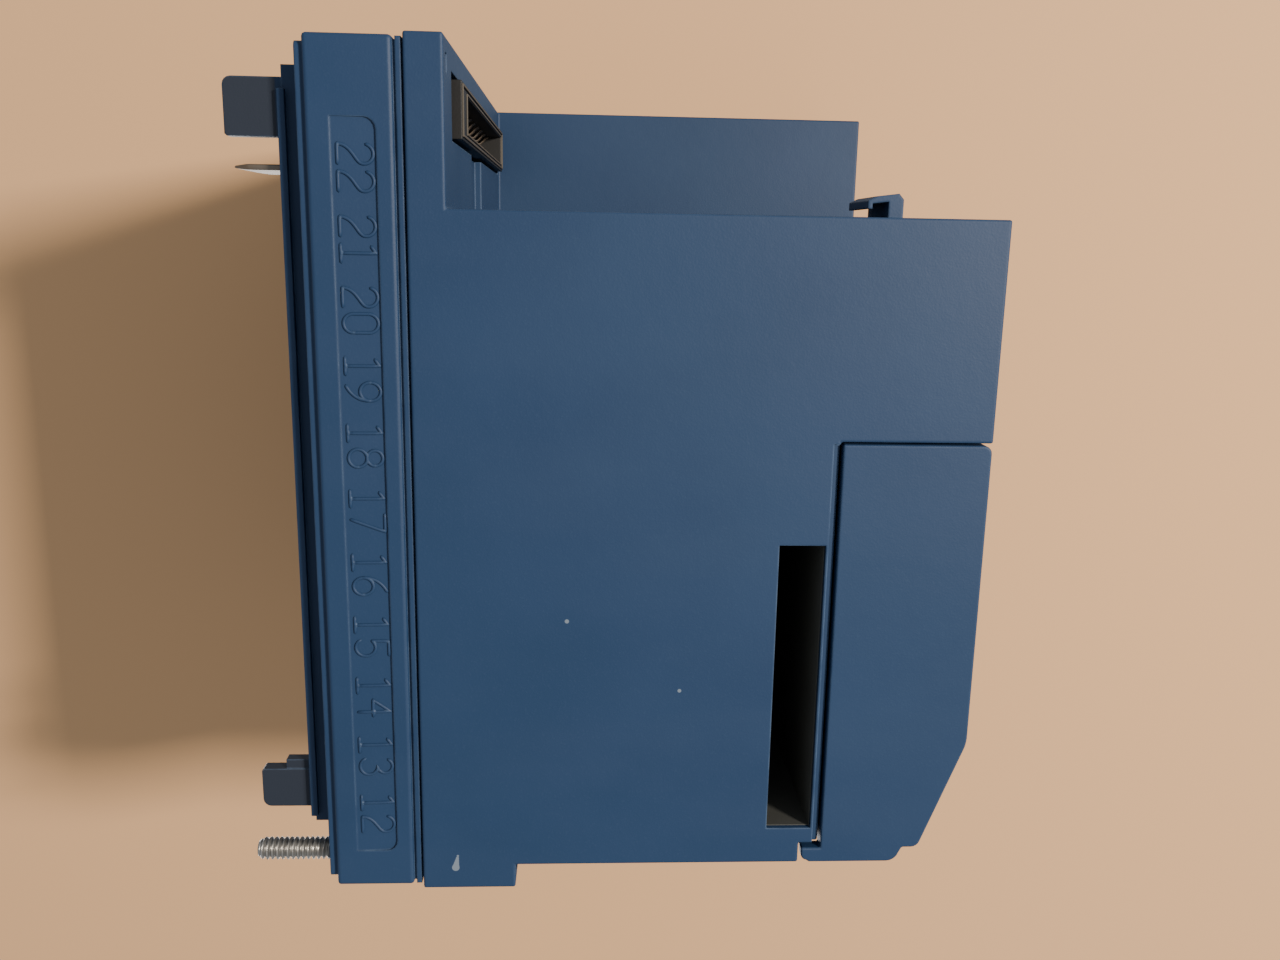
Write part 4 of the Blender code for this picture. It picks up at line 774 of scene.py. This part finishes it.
def sleeve(outer_y, outer_z, x, wall, clear):
    """A rectangular tube along X with a wall of one thickness, a gap away from what holds it: its
    section, taken along one corner, goes out, across the wall and back in.
    """
    sign_y = np.array([-1, 1, 1, -1])
    sign_z = np.array([-1, -1, 1, 1])
    half_y = (outer_y[1] - outer_y[0]) / 2 - clear
    half_z = (outer_z[1] - outer_z[0]) / 2 - clear
    mid_y = sum(outer_y) / 2
    mid_z = sum(outer_z) / 2
    rings = []
    for place, inward in ((x[0], 0.0), (x[1], 0.0), (x[1], wall), (x[0], wall)):
        rings.append(np.stack([np.full(4, place), mid_y + sign_y * (half_y - inward),
                               mid_z + sign_z * (half_z - inward)], axis=1))
    points, faces = loft(np.array(rings), False)
    faces += [[12 + i, 12 + (i + 1) % 4, (i + 1) % 4, i] for i in range(4)]
    return points, faces


# A near-black sheet inside the slot: painted shade.
shade_sheet_finish = moulded_finish("slot_painted_shade", (0.0420, 0.0450, 0.0420), (0.0580, 0.0610, 0.0560), 0.70)
SHADE_SHEET_WALL = 0.00012
SHADE_SHEET_CLEARANCE = 0.00004
shade_sheet = sleeve(CARD_Y, CARD_Z, CARD_X, SHADE_SHEET_WALL, SHADE_SHEET_CLEARANCE)
piece("option_card_liner", [shade_sheet], shade_sheet_finish, "control_body")
low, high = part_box("option_card_connector")
mid_y = (low.y + high.y) / 2
leaf_places = np.linspace(low.z + 0.0045, high.z - 0.0045, LEAF_COUNT)
shells = [leaf((high.x - 0.0003, mid_y, z), (-1, 0, 0), (0, 0, 1), (0, side, 0),
               LEAF_REACH, 0.0009 - LEAF_THICK - 0.0001)
          for z in leaf_places for side in (-1, 1)]
piece("option_card_leaves", shells, brass, "control_body", 40.0)

# ---- Indicator panel ------------------------------------------------------------------------------
# A dark film label in a shallow recess. Plain bars stand where a maker would print the names of the
# lamps; five domed lamps stand through it, the first green, three amber and the last red.

LAMPS = (
    ("led_power", "led_green", (0.020, 0.330, 0.060)),
    ("led_pilot", "led_amber", (0.620, 0.260, 0.015)),
    ("led_flame", "led_amber", (0.620, 0.260, 0.015)),
    ("led_main", "led_amber", (0.620, 0.260, 0.015)),
    ("led_alarm", "led_red", (0.480, 0.015, 0.012)),
)
BAR_LENGTHS = (0.0110, 0.0082, 0.0126, 0.0096, 0.0090)


def slab(x, y, z):
    """A thin block between two values on each axis, as two rings of four corners along Y."""
    corner_x = np.array([x[0], x[1], x[1], x[0]])
    corner_z = np.array([z[0], z[0], z[1], z[1]])
    ring = np.stack([corner_x, np.zeros(4), corner_z], axis=1)
    return loft(np.stack([ring + (0, y[0], 0), ring + (0, y[1], 0)]))


def turned(profile, x, z, sides=32):
    """A profile of (y, radius) pairs turned about a line along Y."""
    turn = np.linspace(0.0, 2 * np.pi, sides, endpoint=False)
    y, radius = np.array(profile).T[:, :, None]
    points = [x + radius * np.cos(turn), y + 0 * turn, z + radius * np.sin(turn)]
    return loft(np.stack(points, axis=-1))


def lamp_finish(slot, colour):
    """A tinted clear dome: dark in the body, painted paler where it curves away as a painted reflection."""
    made = Finish(f"{slot}_dome", {"Roughness": 0.12, "Coat Weight": 0.6, "Coat Roughness": 0.05})
    # Paler where the dome turns from view: a painted reflection.
    turned_away = made.place.node("LayerWeight", {}, {"Blend": 0.35}, 1)
    swirl = made.place.cloud(0.0012, 2.0) * 0.2
    pale = [min(1.0, 1.9 * part + 0.05) for part in colour]
    made.feed("Base Color", (turned_away * 0.6 + swirl).mix((*colour, 1), (*pale, 1)))
    return made.material


label_film = moulded_finish("label_film", (0.014, 0.015, 0.018), (0.022, 0.023, 0.027), 0.30, 0.0002)
print_white = moulded_finish("label_print", (0.520, 0.530, 0.540), (0.620, 0.630, 0.640), 0.45, 0.0002)
repaint(label_film, "status_label")
low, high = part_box("status_label")
ink = (low.y - 0.00008, low.y + 0.00002)
shells = []
for (node, slot, colour), bar in zip(LAMPS, BAR_LENGTHS):
    lens_low, lens_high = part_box(node)
    x = (lens_low.x + lens_high.x) / 2
    z = (lens_low.z + lens_high.z) / 2
    dome = [(lens_low.y + 0.0015 * (1 - np.cos(a)), 0.0015 * np.sin(a))
            for a in np.radians(np.linspace(3, 90, 12))]
    body = [(lens_low.y + 0.0057, 0.0015), (lens_low.y + 0.0057, 0.0018), (lens_low.y + 0.0067, 0.0018),
            (lens_low.y + 0.0067, 0.0009), (lens_high.y, 0.0009)]
    made = piece(f"lamp_{node[4:]}", [turned(dome + body, x, z)], lamp_finish(slot, colour),
                 "control_body", 40.0)
    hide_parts(node)
    start = x + 0.0050
    shells.append(slab((start, start + bar), ink, (z - 0.0005, z + 0.0005)))
    shells.append(slab((start, start + bar * 0.55), ink, (z - 0.0018, z - 0.0013)))
shells.append(rim((low.x + 0.0012, high.x - 0.0012), (low.z + 0.0012, high.z - 0.0012), *ink, 0.0003))
piece("label_print", shells, print_white, "control_body")

# ---- Reset button ---------------------------------------------------------------------------------
# A grey push button left of the bay, with three finger ribs moulded across its face. The ribs' tops are
# the button's front, and its face lies one rib's height behind them.

RIB_PITCH = 0.0026
RIB_HALF_HEIGHT = 0.0006
RIB_HALF_LENGTH = 0.0048
RIB_RISE = 0.00035
RIB_ROOT = 0.0001
FACE_DEPTH = 0.0010


def rib(x, middle_z, front):
    """A finger rib: half an ellipse carried along X, shrinking to nothing at both ends. Its top is
    RIB_RISE in front of the face and its root is RIB_ROOT behind it.
    """
    along = np.linspace(-1.0, 1.0, 21)
    size = np.sqrt(np.clip(1.0 - along ** 6, 0.02, 1.0))[:, None]
    turn = np.radians(np.linspace(0.0, 180.0, 9))
    z = middle_z + size * RIB_HALF_HEIGHT * np.cos(turn)
    y = front + RIB_ROOT - size * (RIB_RISE + RIB_ROOT) * np.sin(turn)
    x_ring = x + along[:, None] * RIB_HALF_LENGTH + 0 * z
    return loft(np.stack([x_ring, y, z], axis=-1))


def set_back(node, front):
    """The node's own shape as a shell, with all that lies within FACE_DEPTH of its front moved back
    by RIB_RISE.
    """
    work = bmesh.new()
    work.from_mesh(bpy.data.objects[node].data)
    bmesh.ops.remove_doubles(work, verts=work.verts, dist=0.000001)
    merged = bpy.data.meshes.new(f"{node}_merged")
    work.to_mesh(merged)
    work.free()
    points = np.empty(len(merged.vertices) * 3)
    merged.vertices.foreach_get("co", points)
    points = points.reshape(-1, 3)
    points[points[:, 1] < front + FACE_DEPTH, 1] += RIB_RISE
    faces = [list(face.vertices) for face in merged.polygons]
    bpy.data.meshes.remove(merged)
    return points, faces


grey = moulded_finish("grey_plastic", (0.230, 0.240, 0.250), (0.280, 0.290, 0.300), 0.42)
repaint(grey, "keypad_mat")
low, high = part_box("reset_button")
mid_x = (low.x + high.x) / 2
mid_z = (low.z + high.z) / 2
shells = [set_back("reset_button", low.y)]
shells += [rib(mid_x, mid_z + shift, low.y + RIB_RISE) for shift in (-RIB_PITCH, 0.0, RIB_PITCH)]
made = piece("ribbed_reset_button", shells, grey, "reset_button", 40.0)
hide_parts("reset_button")

# ---- Display --------------------------------------------------------------------------------------
# A clear window over a two-line liquid crystal panel, unlit, whose dots show faintly, and four rubber
# keys below it with printed arrows. A dark moulded back closes the case.

CELL_ROWS = 2
CELL_COLUMNS = 16
DOTS = (5, 8)
DOT_PITCH = 0.00078
DOT_HALF = 0.00034
CELL_PITCH = (0.0049, 0.0076)


def window_finish():
    """Clear acrylic, lightly scratched: mostly seen through, with a weak surface reflection."""
    made = Finish("clear_window", {"Base Color": (0.80, 0.85, 0.84, 1.0), "Roughness": 0.06})
    scratches = made.place.cloud(0.0006, 3.0, (1.0, 1.0, 0.05)).step(0.62, 0.80)
    made.feed("Alpha", 0.16 + scratches * 0.20)
    made.relief(scratches, 0.000004)
    return made.material


def lcd_finish():
    made = Finish("lcd_glass", {"Coat Weight": 0.5, "Coat Roughness": 0.1})
    haze = made.place.cloud(0.014, 3.0)
    made.feed("Base Color", haze.mix((0.170, 0.230, 0.130, 1), (0.210, 0.275, 0.160, 1)))
    made.feed("Roughness", 0.28 + haze * 0.08)
    return made.material


repaint(window_finish(), "display_window")
repaint(lcd_finish(), "lcd_panel")
dark_blue = moulded_finish("dark_blue_moulding", (0.010, 0.045, 0.120), (0.016, 0.058, 0.145), 0.45)
repaint(dark_blue, "display_back")
low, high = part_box("lcd_panel")
mid_x = (low.x + high.x) / 2
mid_z = (low.z + high.z) / 2
columns = (np.arange(CELL_COLUMNS) - (CELL_COLUMNS - 1) / 2) * CELL_PITCH[0]
rows = (np.arange(CELL_ROWS) - (CELL_ROWS - 1) / 2) * CELL_PITCH[1]
dot_x = (np.arange(DOTS[0]) - (DOTS[0] - 1) / 2) * DOT_PITCH
dot_z = (np.arange(DOTS[1]) - (DOTS[1] - 1) / 2) * DOT_PITCH
dots = (low.y - 0.00006, low.y + 0.00002)
shells = [slab((mid_x + x - DOT_HALF, mid_x + x + DOT_HALF), dots,
               (mid_z + z - DOT_HALF, mid_z + z + DOT_HALF))
          for x in (columns[:, None] + dot_x).ravel() for z in (rows[:, None] + dot_z).ravel()]
dot_grey = moulded_finish("lcd_dots", (0.120, 0.165, 0.095), (0.135, 0.185, 0.105), 0.30)
piece("lcd_dots", shells, dot_grey, "display_module")
rubber = moulded_finish("key_rubber", (0.300, 0.315, 0.330), (0.350, 0.365, 0.380), 0.62, 0.0003)
print_dark = moulded_finish("key_print", (0.020, 0.022, 0.026), (0.030, 0.032, 0.036), 0.50, 0.0002)
for place, heading in enumerate((180.0, 90.0, 270.0, 0.0)):
    node = f"display_key_{place + 1}"
    repaint(rubber, node)
    low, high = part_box(node)
    centre = np.array([(low.x + high.x) / 2, 0.0, (low.z + high.z) / 2])
    turn = np.radians(heading + np.array([0.0, 120.0, 240.0]))
    arrow = centre + 0.0018 * np.stack([np.cos(turn), 0 * turn, np.sin(turn)], axis=1)
    rings = np.stack([arrow + (0, low.y - 0.00008, 0), arrow + (0, low.y + 0.00005, 0)])
    piece(f"key_arrow_{place + 1}", [loft(rings)], print_dark, node)
